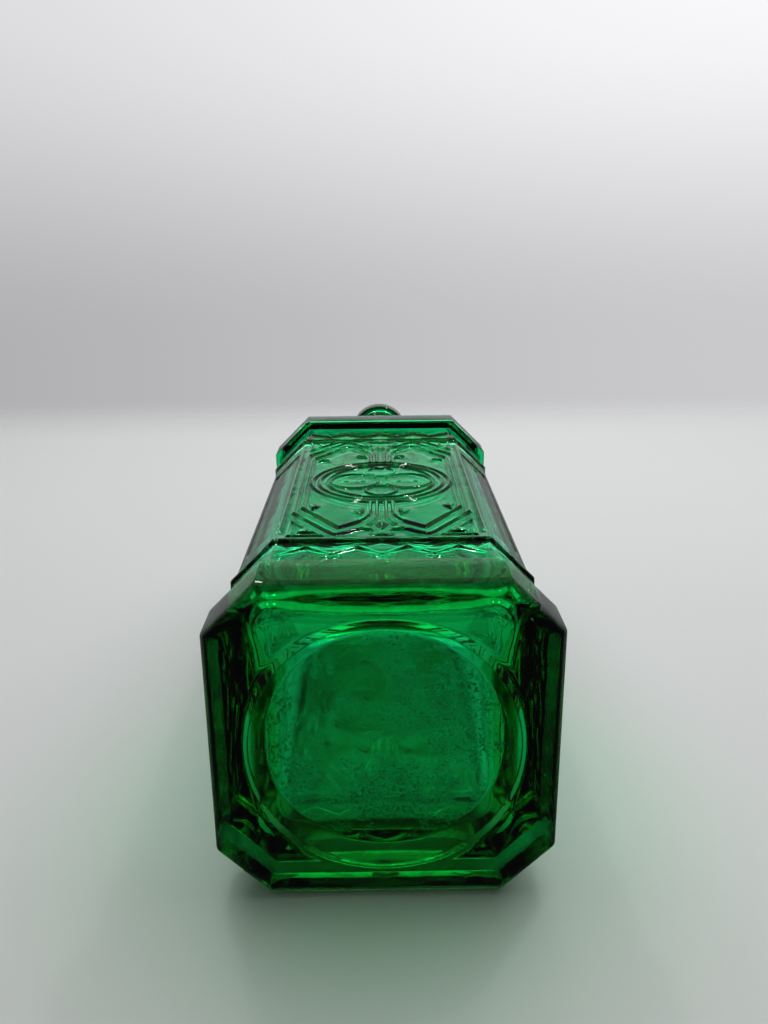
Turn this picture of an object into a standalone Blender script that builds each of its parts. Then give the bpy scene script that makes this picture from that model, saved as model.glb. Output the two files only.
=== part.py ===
"""A decorative bottle of moulded glass, with a cork stopper.

It stands on its base: z = 0 is the plane that it stands on, the mouth points up, and the front face
looks towards -Y. Everything is in metres.
"""

import math

import bmesh
import bpy
from mathutils import Vector
from mathutils.geometry import delaunay_2d_cdt

# The body: foot, band, bead, panel, bead, band and cap, from the base up
FOOT_WIDTH = 0.080
CORNER_CUT = 0.0123
FOOT_HEIGHT = 0.0150
BAND_HEIGHT = 0.0182
BEAD_HEIGHT = 0.0024
PANEL_HEIGHT = 0.1030
CAP_HEIGHT = 0.0124

# How far the faces of the band, the bead and the panel lie behind the foot's faces
BAND_INSET = 0.0027
BEAD_INSET = 0.0018
PANEL_INSET = 0.0027
STEP_RISE = 0.0016
HEEL_RADIUS = 0.0033
CAP_EDGE_RADIUS = 0.0010

# The niche in each cut corner
NICHE_DEPTH = 0.0005
NICHE_MARGIN = 0.0014
NICHE_END_GAP = 0.0116

# The hollow under the base, and the glass between it and the inside
STANDING_RIM = 0.0060
RECESS_SLOPE = 0.0031
RECESS_DEPTH = 0.0036
RECESS_CROWN = 0.0004
FLOOR_THICKNESS = 0.0080

# The inside
PANEL_WALL = 0.0043
INNER_CUT = 0.0055
FLOOR_CORNER_RADIUS = 0.0080
FLOOR_NARROWING = 0.0018
NARROWING_HEIGHT = 0.0120
INNER_SHOULDER_DROP = 0.0050

# Shoulder, neck and lip
SHOULDER_LEDGE = 0.0035
SHOULDER_HEIGHT = 0.0380
NECK_ROOT_RADIUS = 0.0170
NECK_TOP_RADIUS = 0.0126
NECK_LENGTH = 0.1016
NECK_WALL = 0.0036
LIP_RADIUS = 0.0150
LIP_HEIGHT = 0.0120
LIP_ROUNDING = 0.0018
BORE_RADIUS = 0.0092
MOUTH_ROUNDING = 0.0010

# The stopper
CORK_CLEARANCE = 0.0003
CORK_LENGTH = 0.0240
CORK_CHAMFER = 0.0012
CORK_TAPER = 0.0003
GRIP_RADIUS = 0.0128
GRIP_HEIGHT = 0.0090
GRIP_ROUNDING = 0.0020
GRIP_FOOT_RADIUS = 0.0112
PEG_RADIUS = 0.0040
PEG_LENGTH = 0.0090
GLUE_GAP = 0.0003
SEAT_GAP = 0.0003

# The raised ornament
RELIEF_HEIGHT = 0.0008
RELIEF_SLOPE = 0.0005
FINE_RELIEF_HEIGHT = 0.0006
FINE_SLOPE = 0.0003
RING_MARGIN = 0.0050
RING_WIDTH = 0.0020
RING_SPACING = 0.0032
FINE_WIDTH = 0.0014
STRAP_WIDTH = 0.0032
STEM_WIDTH = 0.0022
SIDE_WIDTH = 0.0022
ZIGZAG_RISE = 0.0046
ZIGZAG_DROP = 0.0038
ZIGZAG_GAP = 0.0010
TOOTH_WIDTH = 0.0036
TOOTH_HEIGHT = 0.0018
ZIGZAG_PEAKS = 4

# The lobes as shares of the inner ring's radius, and their pearls as shares of the lobe's radius
SIDE_LOBE_SHARE = 0.40
SIDE_REACH_SHARE = 0.49
END_LOBE_SHARE = 0.30
END_REACH_SHARE = 0.60
PEARL_SHARE = 0.20
PEARL_SPREAD_SHARE = 0.74

# Places on the panel, as shares of its half width and its half height, for its lower right quarter
STRAP_SHARES = ((0.072, -0.600), (0.150, -0.690), (0.474, -0.893), (0.898, -0.546))
SIDE_SHARES = ((0.898, -0.546), (0.898, 0.0))
CORNER_SHARES = ((0.947, -0.722), (0.600, -0.956), (0.947, -0.956))
DART_SHARES = ((0.840, -0.430), (0.640, -0.490), (0.770, -0.555))
LEAF_SHARES = ((0.130, -0.535), (0.350, -0.585), (0.180, -0.645))
WEDGE_SHARES = ((0.180, -0.812), (0.060, -0.872), (0.330, -0.872))
FOOT_DART_SHARES = ((0.0, -0.925), (-0.110, -0.975), (0.110, -0.975))

# How finely the round stretches are divided
FACE_SPANS = 6
CUT_SPANS = 2
ARC_STEPS = 3
CORNER_STEPS = 2
BEAD_STEPS = 4
RING_STEPS = 32
LOBE_STEPS = 12
PEARL_STEPS = 6
SHOULDER_STEPS = 8
TURNED_STEPS = 48
MERGE_GAP = 0.00001
SMOOTH_ANGLE = math.radians(32)

HALF_WIDTH = FOOT_WIDTH / 2
FACE_EDGE = HALF_WIDTH - CORNER_CUT
BEAD_BOTTOM = FOOT_HEIGHT + BAND_HEIGHT
PANEL_BOTTOM = BEAD_BOTTOM + BEAD_HEIGHT
PANEL_TOP = PANEL_BOTTOM + PANEL_HEIGHT
PANEL_MIDDLE = (PANEL_BOTTOM + PANEL_TOP) / 2
BODY_HEIGHT = PANEL_TOP + BEAD_HEIGHT + BAND_HEIGHT + CAP_HEIGHT
SHOULDER_TOP = BODY_HEIGHT + SHOULDER_HEIGHT
LIP_BOTTOM = SHOULDER_TOP + NECK_LENGTH
MOUTH_TOP = LIP_BOTTOM + LIP_HEIGHT
RECESS_RADIUS = HALF_WIDTH - HEEL_RADIUS - STANDING_RIM
INNER_HALF = HALF_WIDTH - PANEL_INSET - PANEL_WALL
FLOOR_LEVEL = RECESS_DEPTH + RECESS_CROWN + FLOOR_THICKNESS


def edge_at(inset):
    """Half the width of a flat face that lies this far behind the foot's face."""
    return FACE_EDGE - (math.sqrt(2) - 1) * inset


def band_profile():
    """Heights and insets of one end of the body, from the foot's face to the panel."""
    levels = [
        (FOOT_HEIGHT, 0.0),
        (FOOT_HEIGHT + STEP_RISE, BAND_INSET),
        (BEAD_BOTTOM - STEP_RISE, BAND_INSET),
    ]
    for step in range(BEAD_STEPS + 1):
        share = step / BEAD_STEPS
        swell = (PANEL_INSET - BEAD_INSET) * math.sin(math.pi * share)
        levels.append((BEAD_BOTTOM + BEAD_HEIGHT * share, PANEL_INSET - swell))
    return levels


def body_profile():
    """Heights and insets of the whole body, from the base up."""
    heel = []
    cap_edge = []
    for step in range(ARC_STEPS + 1):
        turn = math.pi / 2 * step / ARC_STEPS
        heel.append((HEEL_RADIUS * (1 - math.cos(turn)), HEEL_RADIUS * (1 - math.sin(turn))))
        cap_edge.append(
            (
                BODY_HEIGHT - CAP_EDGE_RADIUS * (1 - math.sin(turn)),
                CAP_EDGE_RADIUS * (1 - math.cos(turn)),
            )
        )
    lower = band_profile()
    upper = [(2 * PANEL_MIDDLE - height, inset) for height, inset in reversed(lower)]
    return heel + lower + upper + cap_edge


def inset_at(height, profile):
    for (low, low_inset), (high, high_inset) in zip(profile, profile[1:]):
        if height <= high:
            share = (height - low) / (high - low)
            return low_inset + share * (high_inset - low_inset)
    return profile[-1][1]


def arc(centre, radius, start, end, steps):
    points = []
    for step in range(steps + 1):
        turn = start + (end - start) * step / steps
        points.append(centre + Vector((math.cos(turn), math.sin(turn))) * radius)
    return points


class Ribbon:
    """A raised strip of even width along a path of straight runs, with round corners and ends."""

    def __init__(self, path, width, height, slope):
        self.path = [Vector(point) for point in path]
        self.width = width
        self.height = height
        self.slope = slope

    def depth(self, point):
        """How far a point lies inside the strip's edge."""
        nearest = math.inf
        for start, end in zip(self.path, self.path[1:]):
            run = end - start
            along = max(0.0, min(1.0, (point - start).dot(run) / run.length_squared))
            nearest = min(nearest, (point - start - run * along).length)
        return self.width / 2 - nearest

    def side(self, path, reach):
        """A path's left side at a distance, mitred at its inner corners and rounded at its outer ones."""
        points = []
        runs = [(end - start).normalized() for start, end in zip(path, path[1:])]
        points.append(path[0] + runs[0].orthogonal() * reach)
        for corner, before, after in zip(path[1:], runs, runs[1:]):
            turn = before.angle_signed(after)
            if turn < 0:
                middle = (before.orthogonal() + after.orthogonal()).normalized()
                points.append(corner + middle * reach / math.cos(turn / 2))
            else:
                first = math.atan2(before.x, -before.y)
                points += arc(corner, reach, first, first - turn, CORNER_STEPS)
        points.append(path[-1] + runs[-1].orthogonal() * reach)
        return points

    def lines(self):
        """The lines where the strip's slopes start and end, each with whether it is closed."""
        found = []
        for reach in (self.width / 2, self.width / 2 - self.slope):
            if reach <= MERGE_GAP:
                found.append((self.path, False))
                continue
            loop = []
            for path in (self.path, self.path[::-1]):
                run = (path[-1] - path[-2]).normalized()
                first = math.atan2(run.x, -run.y)
                loop += self.side(path, reach)
                loop += arc(path[-1], reach, first, first - math.pi, CORNER_STEPS)[1:-1]
            found.append((loop, True))
        return found


class Plate:
    """A raised flat with straight edges, none of its corners pointing in."""

    def __init__(self, corners, height, slope):
        self.corners = [Vector(corner) for corner in corners]
        if sum(start.cross(end) for start, end in self.edges()) < 0:
            self.corners.reverse()
        self.height = height
        self.slope = slope

    def edges(self):
        return zip(self.corners, self.corners[1:] + self.corners[:1])

    def depth(self, point):
        return min((end - start).normalized().cross(point - start) for start, end in self.edges())

    def lines(self):
        inner = []
        before = self.corners[-1:] + self.corners[:-1]
        after = self.corners[1:] + self.corners[:1]
        for corner, last, following in zip(self.corners, before, after):
            arrive = (corner - last).normalized()
            leave = (following - corner).normalized()
            inner.append(corner + (leave - arrive) * self.slope / abs(arrive.cross(leave)))
        return [(self.corners, True), (inner, True)]


class Hoop:
    """A raised ring."""

    def __init__(self, centre, radius, width, height, slope, steps):
        self.centre = Vector(centre)
        self.radius = radius
        self.width = width
        self.height = height
        self.slope = slope
        self.steps = steps

    def depth(self, point):
        return self.width / 2 - abs((point - self.centre).length - self.radius)

    def lines(self):
        reach = self.width / 2
        crest = max(0.0, reach - self.slope)
        radii = {self.radius + offset for offset in (-reach, -crest, crest, reach)}
        return [
            (arc(self.centre, radius, 0.0, 2 * math.pi, self.steps)[:-1], True)
            for radius in sorted(radii)
        ]


class Pearl:
    """A raised round spot."""

    def __init__(self, centre, radius, height):
        self.centre = Vector(centre)
        self.radius = radius
        self.height = height
        self.slope = radius / 2

    def depth(self, point):
        return self.radius - (point - self.centre).length

    def lines(self):
        return [
            (arc(self.centre, radius, 0.0, 2 * math.pi, PEARL_STEPS)[:-1], True)
            for radius in (self.radius, self.radius - self.slope)
        ]


def rise_at(point, shapes):
    """How high the ornament stands at a point."""
    rise = 0.0
    for shape in shapes:
        share = max(0.0, min(1.0, shape.depth(point) / shape.slope))
        rise = max(rise, shape.height * share)
    return rise


def panel_point(share, flip_x, flip_z):
    """The place on the panel that two shares give, measured from the middle of the base line."""
    half_width = edge_at(PANEL_INSET)
    return Vector((flip_x * share[0] * half_width, PANEL_MIDDLE + flip_z * share[1] * PANEL_HEIGHT / 2))


def fine_hoop(centre, radius, steps):
    """A thin ring with a crest in place of a flat."""
    return Hoop(centre, radius, FINE_WIDTH, FINE_RELIEF_HEIGHT, FINE_WIDTH / 2, steps)


def panel_ornament():
    """Ring, stems, straps, darts and leaves of one panel."""
    middle = Vector((0.0, PANEL_MIDDLE))
    radius = edge_at(PANEL_INSET) - RING_MARGIN
    shapes = [
        Hoop(middle, radius, RING_WIDTH, RELIEF_HEIGHT, RELIEF_SLOPE, RING_STEPS),
        fine_hoop(middle, radius - RING_SPACING, RING_STEPS),
    ]
    for flip_z in (1, -1):
        for flip_x in (1, -1):
            stem_end = panel_point(STRAP_SHARES[0], flip_x, flip_z)
            stem = [Vector((stem_end.x, PANEL_MIDDLE - flip_z * radius)), stem_end]
            shapes.append(Ribbon(stem, STEM_WIDTH, RELIEF_HEIGHT, RELIEF_SLOPE))
            for shares, width in ((STRAP_SHARES, STRAP_WIDTH), (SIDE_SHARES, SIDE_WIDTH)):
                path = [panel_point(share, flip_x, flip_z) for share in shares]
                shapes.append(Ribbon(path, width, RELIEF_HEIGHT, RELIEF_SLOPE))
            for shares in (CORNER_SHARES, DART_SHARES, LEAF_SHARES, WEDGE_SHARES):
                corners = [panel_point(share, flip_x, flip_z) for share in shares]
                shapes.append(Plate(corners, FINE_RELIEF_HEIGHT, FINE_SLOPE))
        corners = [panel_point(share, 1, flip_z) for share in FOOT_DART_SHARES]
        shapes.append(Plate(corners, FINE_RELIEF_HEIGHT, FINE_SLOPE))
    return shapes + tracery(middle, radius - RING_SPACING)


def tracery(middle, ring_radius):
    """The four lobes inside the inner ring, each with a pair of pearls."""
    shapes = []
    lobes = (
        (Vector((1.0, 0.0)), SIDE_LOBE_SHARE, SIDE_REACH_SHARE),
        (Vector((-1.0, 0.0)), SIDE_LOBE_SHARE, SIDE_REACH_SHARE),
        (Vector((0.0, 1.0)), END_LOBE_SHARE, END_REACH_SHARE),
        (Vector((0.0, -1.0)), END_LOBE_SHARE, END_REACH_SHARE),
    )
    for away, size_share, reach_share in lobes:
        centre = middle + away * ring_radius * reach_share
        radius = ring_radius * size_share
        shapes.append(fine_hoop(centre, radius, LOBE_STEPS))
        for side in (-1, 1):
            place = centre + Vector((side * radius * PEARL_SPREAD_SHARE / 2, 0.0))
            shapes.append(Pearl(place, radius * PEARL_SHARE, FINE_RELIEF_HEIGHT))
    return shapes


def band_ornament(bottom, top):
    """One band's zig-zag, with a tooth at the foot of each valley, for a band from one height to another.

    On the upper band, top is the lower of the two heights, which turns the zig-zag over.
    """
    shapes = []
    half_width = edge_at(BAND_INSET)
    pitch = 2 * (half_width - ZIGZAG_GAP) / ZIGZAG_PEAKS
    upward = math.copysign(1.0, top - bottom)
    crest = top - upward * ZIGZAG_DROP
    foot = crest - upward * ZIGZAG_RISE
    path = []
    for step in range(2 * ZIGZAG_PEAKS + 1):
        x = ZIGZAG_GAP - half_width + pitch * step / 2
        path.append(Vector((x, crest if step % 2 else foot)))
    path[0] = path[0].lerp(path[1], FINE_WIDTH / pitch)
    path[-1] = path[-1].lerp(path[-2], FINE_WIDTH / pitch)
    shapes.append(Ribbon(path, FINE_WIDTH, FINE_RELIEF_HEIGHT, FINE_WIDTH / 2))
    apex = foot - upward * FINE_WIDTH
    for valley in range(1, ZIGZAG_PEAKS):
        x = ZIGZAG_GAP - half_width + pitch * valley
        corners = (
            (x, apex),
            (x - TOOTH_WIDTH / 2, apex - upward * TOOTH_HEIGHT),
            (x + TOOTH_WIDTH / 2, apex - upward * TOOTH_HEIGHT),
        )
        shapes.append(Plate(corners, FINE_RELIEF_HEIGHT, FINE_SLOPE))
    return shapes


def flat_patch(half, spans, profile, lines):
    """Triangles of a flat stretch of the body's surface, in its width and height.

    The lines in it are the profile's levels and the ornament's lines, and along its lower and upper
    ends lie the points that the shoulder and the base start from.
    """
    points = []
    edges = []
    heights = [height for height, inset in profile]
    for height in heights:
        row = [Vector((-half, height)), Vector((half, height))]
        if height in (heights[0], heights[-1]):
            row = [Vector((half * (2 * step / spans - 1), height)) for step in range(spans + 1)]
        start = len(points)
        points += row
        edges += [(start + step, start + step + 1) for step in range(len(row) - 1)]
    for line, closed in lines:
        start = len(points)
        points += line
        edges += [(start + step, start + step + 1) for step in range(len(line) - 1)]
        if closed:
            edges.append((start + len(line) - 1, start))
    found = delaunay_2d_cdt(points, edges, [], 0, MERGE_GAP / 10)
    return found[0], found[2]


def add_faces(mesh, profile):
    """The four flat faces with their ornament."""
    shapes = panel_ornament()
    shapes += band_ornament(FOOT_HEIGHT, BEAD_BOTTOM)
    shapes += band_ornament(BODY_HEIGHT - CAP_HEIGHT, PANEL_TOP + BEAD_HEIGHT)
    lines = [line for shape in shapes for line in shape.lines()]
    points, triangles = flat_patch(FACE_EDGE, FACE_SPANS, profile, lines)
    placed = []
    for point in points:
        inset = inset_at(point.y, profile)
        across = point.x / FACE_EDGE * edge_at(inset)
        placed.append((across, HALF_WIDTH - inset + rise_at(point, shapes), point.y))
    for turn in range(4):
        away = Vector((math.sin(turn * math.pi / 2), -math.cos(turn * math.pi / 2), 0.0))
        along = Vector((-away.y, away.x, 0.0))
        corners = [
            mesh.verts.new(along * across + away * out + Vector((0.0, 0.0, height)))
            for across, out, height in placed
        ]
        for triangle in triangles:
            mesh.faces.new([corners[index] for index in triangle])


def niche_loops(half):
    """The edge of a cut corner's niche, and the foot of its slope."""
    loops = []
    for shrink in (0.0, NICHE_DEPTH):
        x = half - NICHE_MARGIN - shrink
        low = PANEL_BOTTOM + NICHE_END_GAP + shrink
        high = PANEL_TOP - NICHE_END_GAP - shrink
        loops.append([Vector(place) for place in ((-x, low), (x, low), (x, high), (-x, high))])
    return loops


def add_cut_corners(mesh, profile):
    """The four cut corners with their niches."""
    half = CORNER_CUT / math.sqrt(2)
    loops = niche_loops(half)
    (left, low), (right, high) = loops[1][0], loops[1][2]
    points, triangles = flat_patch(half, CUT_SPANS, profile, [(loop, True) for loop in loops])
    placed = []
    for point in points:
        inset = inset_at(point.y, profile)
        face = HALF_WIDTH - inset
        edge = edge_at(inset)
        sunk = left - MERGE_GAP < point.x < right + MERGE_GAP and low - MERGE_GAP < point.y < high + MERGE_GAP
        out = (face + edge) / math.sqrt(2) - (NICHE_DEPTH if sunk else 0.0)
        placed.append((point.x / half * (face - edge) / math.sqrt(2), out, point.y))
    for turn in range(4):
        angle = math.pi / 4 + turn * math.pi / 2
        away = Vector((math.sin(angle), -math.cos(angle), 0.0))
        along = Vector((-away.y, away.x, 0.0))
        corners = [
            mesh.verts.new(along * across + away * out + Vector((0.0, 0.0, height)))
            for across, out, height in placed
        ]
        for triangle in triangles:
            mesh.faces.new([corners[index] for index in triangle])


def section(face, edge):
    """Points around the body where its faces lie this far out and are this wide, in half sizes."""
    quarter = [Vector((edge * (2 * step / FACE_SPANS - 1), -face)) for step in range(FACE_SPANS)]
    quarter += [
        Vector((edge, -face)).lerp(Vector((face, -edge)), step / CUT_SPANS) for step in range(CUT_SPANS)
    ]
    points = []
    for turn in range(4):
        cosine, sine = math.cos(turn * math.pi / 2), math.sin(turn * math.pi / 2)
        points += [Vector((p.x * cosine - p.y * sine, p.x * sine + p.y * cosine)) for p in quarter]
    return points


def rounded_section(face, edge, roundness):
    """A section of the body drawn part of the way, or all of it, to a circle through its faces."""
    points = []
    for point, guide in zip(section(face, edge), section(HALF_WIDTH, FACE_EDGE)):
        points.append(point.lerp(guide.normalized() * face, roundness))
    return points


def ring(mesh, points, height):
    return [mesh.verts.new((point.x, point.y, height)) for point in points]


def circle(mesh, radius, height):
    return ring(mesh, rounded_section(radius, radius, 1.0), height)


def bridge(mesh, lower, upper):
    """Faces between two rings with as many points, facing out when the second ring is the higher one."""
    count = len(lower)
    for index in range(count):
        following = (index + 1) % count
        mesh.faces.new((lower[index], lower[following], upper[following], upper[index]))


def skin(mesh, rings):
    for lower, upper in zip(rings, rings[1:]):
        bridge(mesh, lower, upper)


def close(mesh, last, height, upwards):
    """A fan from a ring to a point on the axis."""
    centre = mesh.verts.new((0.0, 0.0, height))
    for index in range(len(last)):
        pair = (last[index], last[(index + 1) % len(last)])
        mesh.faces.new((*pair, centre) if upwards else (*reversed(pair), centre))


def ease(share):
    """From 0 to 1, level at both ends."""
    return math.sin(math.pi / 2 * share) ** 2


def add_base(mesh):
    """The flat that the bottle stands on, and the round hollow inside it."""
    rim = ring(mesh, section(HALF_WIDTH - HEEL_RADIUS, edge_at(HEEL_RADIUS)), 0.0)
    rings = [circle(mesh, RECESS_RADIUS, 0.0), circle(mesh, RECESS_RADIUS - RECESS_SLOPE, RECESS_DEPTH)]
    bridge(mesh, rings[0], rim)
    bridge(mesh, rings[1], rings[0])
    half_way = RECESS_RADIUS / 2
    middle = circle(mesh, half_way, RECESS_DEPTH + RECESS_CROWN * (1 - (half_way / RECESS_RADIUS) ** 2))
    bridge(mesh, middle, rings[1])
    close(mesh, middle, RECESS_DEPTH + RECESS_CROWN, upwards=False)


def add_shoulder_and_neck(mesh):
    """From the cap's upper edge to the middle of the mouth's rim."""
    rings = [ring(mesh, section(HALF_WIDTH - CAP_EDGE_RADIUS, edge_at(CAP_EDGE_RADIUS)), BODY_HEIGHT)]
    start = HALF_WIDTH - SHOULDER_LEDGE
    start_edge = edge_at(SHOULDER_LEDGE)
    for step in range(SHOULDER_STEPS + 1):
        share = step / SHOULDER_STEPS
        drawn = ease(share)
        face = start + (NECK_ROOT_RADIUS - start) * drawn
        edge = start_edge * face / start
        points = rounded_section(face, edge, drawn)
        rings.append(ring(mesh, points, BODY_HEIGHT + SHOULDER_HEIGHT * share))
    rings.append(circle(mesh, NECK_TOP_RADIUS, LIP_BOTTOM))
    rings.append(circle(mesh, LIP_RADIUS, LIP_BOTTOM + LIP_RADIUS - NECK_TOP_RADIUS))
    for step in range(ARC_STEPS + 1):
        turn = math.pi / 2 * step / ARC_STEPS
        radius = LIP_RADIUS - LIP_ROUNDING * (1 - math.cos(turn))
        rings.append(circle(mesh, radius, MOUTH_TOP - LIP_ROUNDING * (1 - math.sin(turn))))
    skin(mesh, rings)
    return rings[-1]


def add_inside(mesh, rim):
    """From the mouth's rim down the bore, under the shoulder and down to the floor."""
    rings = [rim]
    for step in range(ARC_STEPS + 1):
        turn = math.pi / 2 * step / ARC_STEPS
        radius = BORE_RADIUS + MOUTH_ROUNDING * (1 - math.sin(turn))
        rings.append(circle(mesh, radius, MOUTH_TOP - MOUTH_ROUNDING * (1 - math.cos(turn))))
    rings.append(circle(mesh, BORE_RADIUS, LIP_BOTTOM))
    inner_root = NECK_ROOT_RADIUS - NECK_WALL
    edge = INNER_HALF - INNER_CUT
    for step in range(SHOULDER_STEPS + 1):
        share = 1 - step / SHOULDER_STEPS
        drawn = ease(share)
        face = INNER_HALF + (inner_root - INNER_HALF) * drawn
        points = rounded_section(face, edge * face / INNER_HALF, drawn)
        rings.append(ring(mesh, points, BODY_HEIGHT - INNER_SHOULDER_DROP + SHOULDER_HEIGHT * share))
    narrowing = FLOOR_LEVEL + FLOOR_CORNER_RADIUS + NARROWING_HEIGHT
    rings.append(ring(mesh, section(INNER_HALF, edge), narrowing))
    for step in range(ARC_STEPS + 1):
        turn = math.pi / 2 * step / ARC_STEPS
        face = INNER_HALF - FLOOR_NARROWING - FLOOR_CORNER_RADIUS * (1 - math.cos(turn))
        points = section(face, edge * face / INNER_HALF)
        rings.append(ring(mesh, points, FLOOR_LEVEL + FLOOR_CORNER_RADIUS * (1 - math.sin(turn))))
    skin(mesh, rings)
    close(mesh, rings[-1], FLOOR_LEVEL, upwards=True)


def finished(name, mesh, material, parent=None):
    """An object made of the collected faces, closed, facing out and smooth where it is round."""
    bmesh.ops.remove_doubles(mesh, verts=mesh.verts, dist=MERGE_GAP)
    bmesh.ops.recalc_face_normals(mesh, faces=mesh.faces)
    data = bpy.data.meshes.new(name)
    mesh.to_mesh(data)
    mesh.free()
    data.shade_smooth()
    data.set_sharp_from_angle(angle=SMOOTH_ANGLE)
    data.materials.append(material)
    piece = bpy.data.objects.new(name, data)
    bpy.context.collection.objects.link(piece)
    piece.parent = parent
    return piece


def surface(name, colour, roughness, transmission=0.0):
    material = bpy.data.materials.new(name)
    material.use_nodes = True
    shader = material.node_tree.nodes["Principled BSDF"]
    shader.inputs["Base Color"].default_value = (*colour, 1.0)
    shader.inputs["Roughness"].default_value = roughness
    shader.inputs["Metallic"].default_value = 0.0
    shader.inputs["Transmission Weight"].default_value = transmission
    return material


def glass_bottle():
    mesh = bmesh.new()
    profile = body_profile()
    add_faces(mesh, profile)
    add_cut_corners(mesh, profile)
    add_base(mesh)
    rim = add_shoulder_and_neck(mesh)
    add_inside(mesh, rim)
    return finished("glass_bottle", mesh, surface("green glass", (0.02, 0.42, 0.14), 0.03, 1.0))


def turned(mesh, profile):
    """Adds a closed solid of revolution from radii and heights that run from its lowest point up its outside."""
    vertices = [mesh.verts.new((radius, 0.0, height)) for radius, height in profile]
    edges = [mesh.edges.new(pair) for pair in zip(vertices, vertices[1:])]
    bmesh.ops.spin(
        mesh,
        geom=vertices + edges,
        cent=(0.0, 0.0, 0.0),
        axis=(0.0, 0.0, 1.0),
        angle=2 * math.pi,
        steps=TURNED_STEPS,
        use_merge=True,
    )


def cork_shank(parent):
    """The cork, measured from the stopper's origin in the plane of the lip's top."""
    radius = BORE_RADIUS - CORK_CLEARANCE
    hole = PEG_RADIUS + GLUE_GAP
    hole_end = -PEG_LENGTH - GLUE_GAP + SEAT_GAP
    mesh = bmesh.new()
    turned(
        mesh,
        (
            (0.0, -CORK_LENGTH),
            (radius - CORK_TAPER - CORK_CHAMFER, -CORK_LENGTH),
            (radius - CORK_TAPER, CORK_CHAMFER - CORK_LENGTH),
            (radius, -MOUTH_ROUNDING),
            (radius, 0.0),
            (hole, 0.0),
            (hole, hole_end),
            (0.0, hole_end),
        ),
    )
    return finished("cork_shank", mesh, surface("cork", (0.62, 0.42, 0.25), 0.85), parent)


def stopper_grip(parent):
    """The wooden grip: it sits over the lip, and its peg reaches into the cork."""
    mesh = bmesh.new()
    profile = [
        (0.0, SEAT_GAP - PEG_LENGTH),
        (PEG_RADIUS, SEAT_GAP - PEG_LENGTH),
        (PEG_RADIUS, SEAT_GAP),
        (GRIP_FOOT_RADIUS, SEAT_GAP),
        (GRIP_RADIUS, SEAT_GAP + GRIP_RADIUS - GRIP_FOOT_RADIUS),
    ]
    top = SEAT_GAP + GRIP_HEIGHT
    for step in range(ARC_STEPS + 1):
        turn = math.pi / 2 * step / ARC_STEPS
        radius = GRIP_RADIUS - GRIP_ROUNDING * (1 - math.cos(turn))
        profile.append((radius, top - GRIP_ROUNDING * (1 - math.sin(turn))))
    profile.append((0.0, top))
    turned(mesh, profile)
    return finished("stopper_grip", mesh, surface("turned wood", (0.30, 0.17, 0.09), 0.45), parent)


def main():
    for old in list(bpy.data.objects):
        bpy.data.objects.remove(old)
    glass_bottle()
    stopper = bpy.data.objects.new("stopper", None)
    stopper.location = (0.0, 0.0, MOUTH_TOP)
    bpy.context.collection.objects.link(stopper)
    cork_shank(stopper)
    stopper_grip(stopper)


main()
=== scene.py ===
"""Looks of a decorative bottle of moulded green glass with its cork stopper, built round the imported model.

The bottle stands on its base with its mouth up and its front face towards -Y, and everything is in metres.
The photograph shows the bottle lying on its back face, seen from beyond its base, so the camera stands
below the base and in front of it, and a pale board that the back face lies against is that view's floor.
"""

from math import atan2, ceil, copysign, cos, pi, sin, sqrt, tan

import bmesh
import bpy
import numpy as np
from mathutils import Matrix, Vector
from mathutils.geometry import delaunay_2d_cdt

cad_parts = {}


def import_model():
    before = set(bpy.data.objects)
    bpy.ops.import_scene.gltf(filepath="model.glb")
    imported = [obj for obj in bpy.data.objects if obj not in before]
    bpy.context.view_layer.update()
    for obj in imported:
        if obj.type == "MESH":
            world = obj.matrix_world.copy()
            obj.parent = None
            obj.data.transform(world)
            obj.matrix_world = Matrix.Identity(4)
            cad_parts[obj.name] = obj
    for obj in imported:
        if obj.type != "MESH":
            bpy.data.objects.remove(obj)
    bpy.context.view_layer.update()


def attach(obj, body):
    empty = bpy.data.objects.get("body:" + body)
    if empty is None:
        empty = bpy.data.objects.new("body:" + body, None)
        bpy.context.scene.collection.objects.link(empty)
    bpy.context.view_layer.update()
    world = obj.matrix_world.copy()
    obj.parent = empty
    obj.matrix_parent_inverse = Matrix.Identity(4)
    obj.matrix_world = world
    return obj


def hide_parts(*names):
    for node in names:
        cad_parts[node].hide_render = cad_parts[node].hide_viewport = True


# The body: foot, band, bead, panel, bead, band and cap, from the base up
HALF_WIDTH = 0.04
CORNER_CUT = 0.0123
FOOT_HEIGHT = 0.015
BAND_HEIGHT = 0.0182
BEAD_HEIGHT = 0.0024
PANEL_HEIGHT = 0.103
CAP_HEIGHT = 0.0124
BAND_INSET = 0.0027
BEAD_INSET = 0.0018
BEAD_CREST_SHARE = 0.45
BEAD_TAIL = 0.0035
TAIL_INSET = 0.0023
PANEL_INSET = 0.0027
STEP_RISE = 0.0016
CAP_STEP_RISE = 0.0005
HEEL_RADIUS = 0.0033
CAP_EDGE_RADIUS = 0.001
EDGE_ROUNDING = 0.001
STEP_ROUNDING = 0.0005

# The niche in each cut corner
NICHE_DEPTH = 0.0005
NICHE_MARGIN = 0.0014
NICHE_END_GAP = 0.0116
NICHE_SLOPE = 0.0006

# The hollow under the base, and the inside
STANDING_RIM = 0.006
RECESS_SLOPE = 0.0031
RECESS_DEPTH = 0.0036
RECESS_CROWN = 0.0004
FLOOR_THICKNESS = 0.008
PANEL_WALL = 0.0043
INNER_CUT = 0.0055
INNER_CORNER_ROUNDING = 0.0065
FLOOR_CORNER_RADIUS = 0.008
FLOOR_NARROWING = 0.0008
FLOOR_BOW = 0.0018
SIDE_FLOOR_BOW = 0.0028
BOW_HEIGHT = 0.012
INNER_SHOULDER_DROP = 0.005

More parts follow.
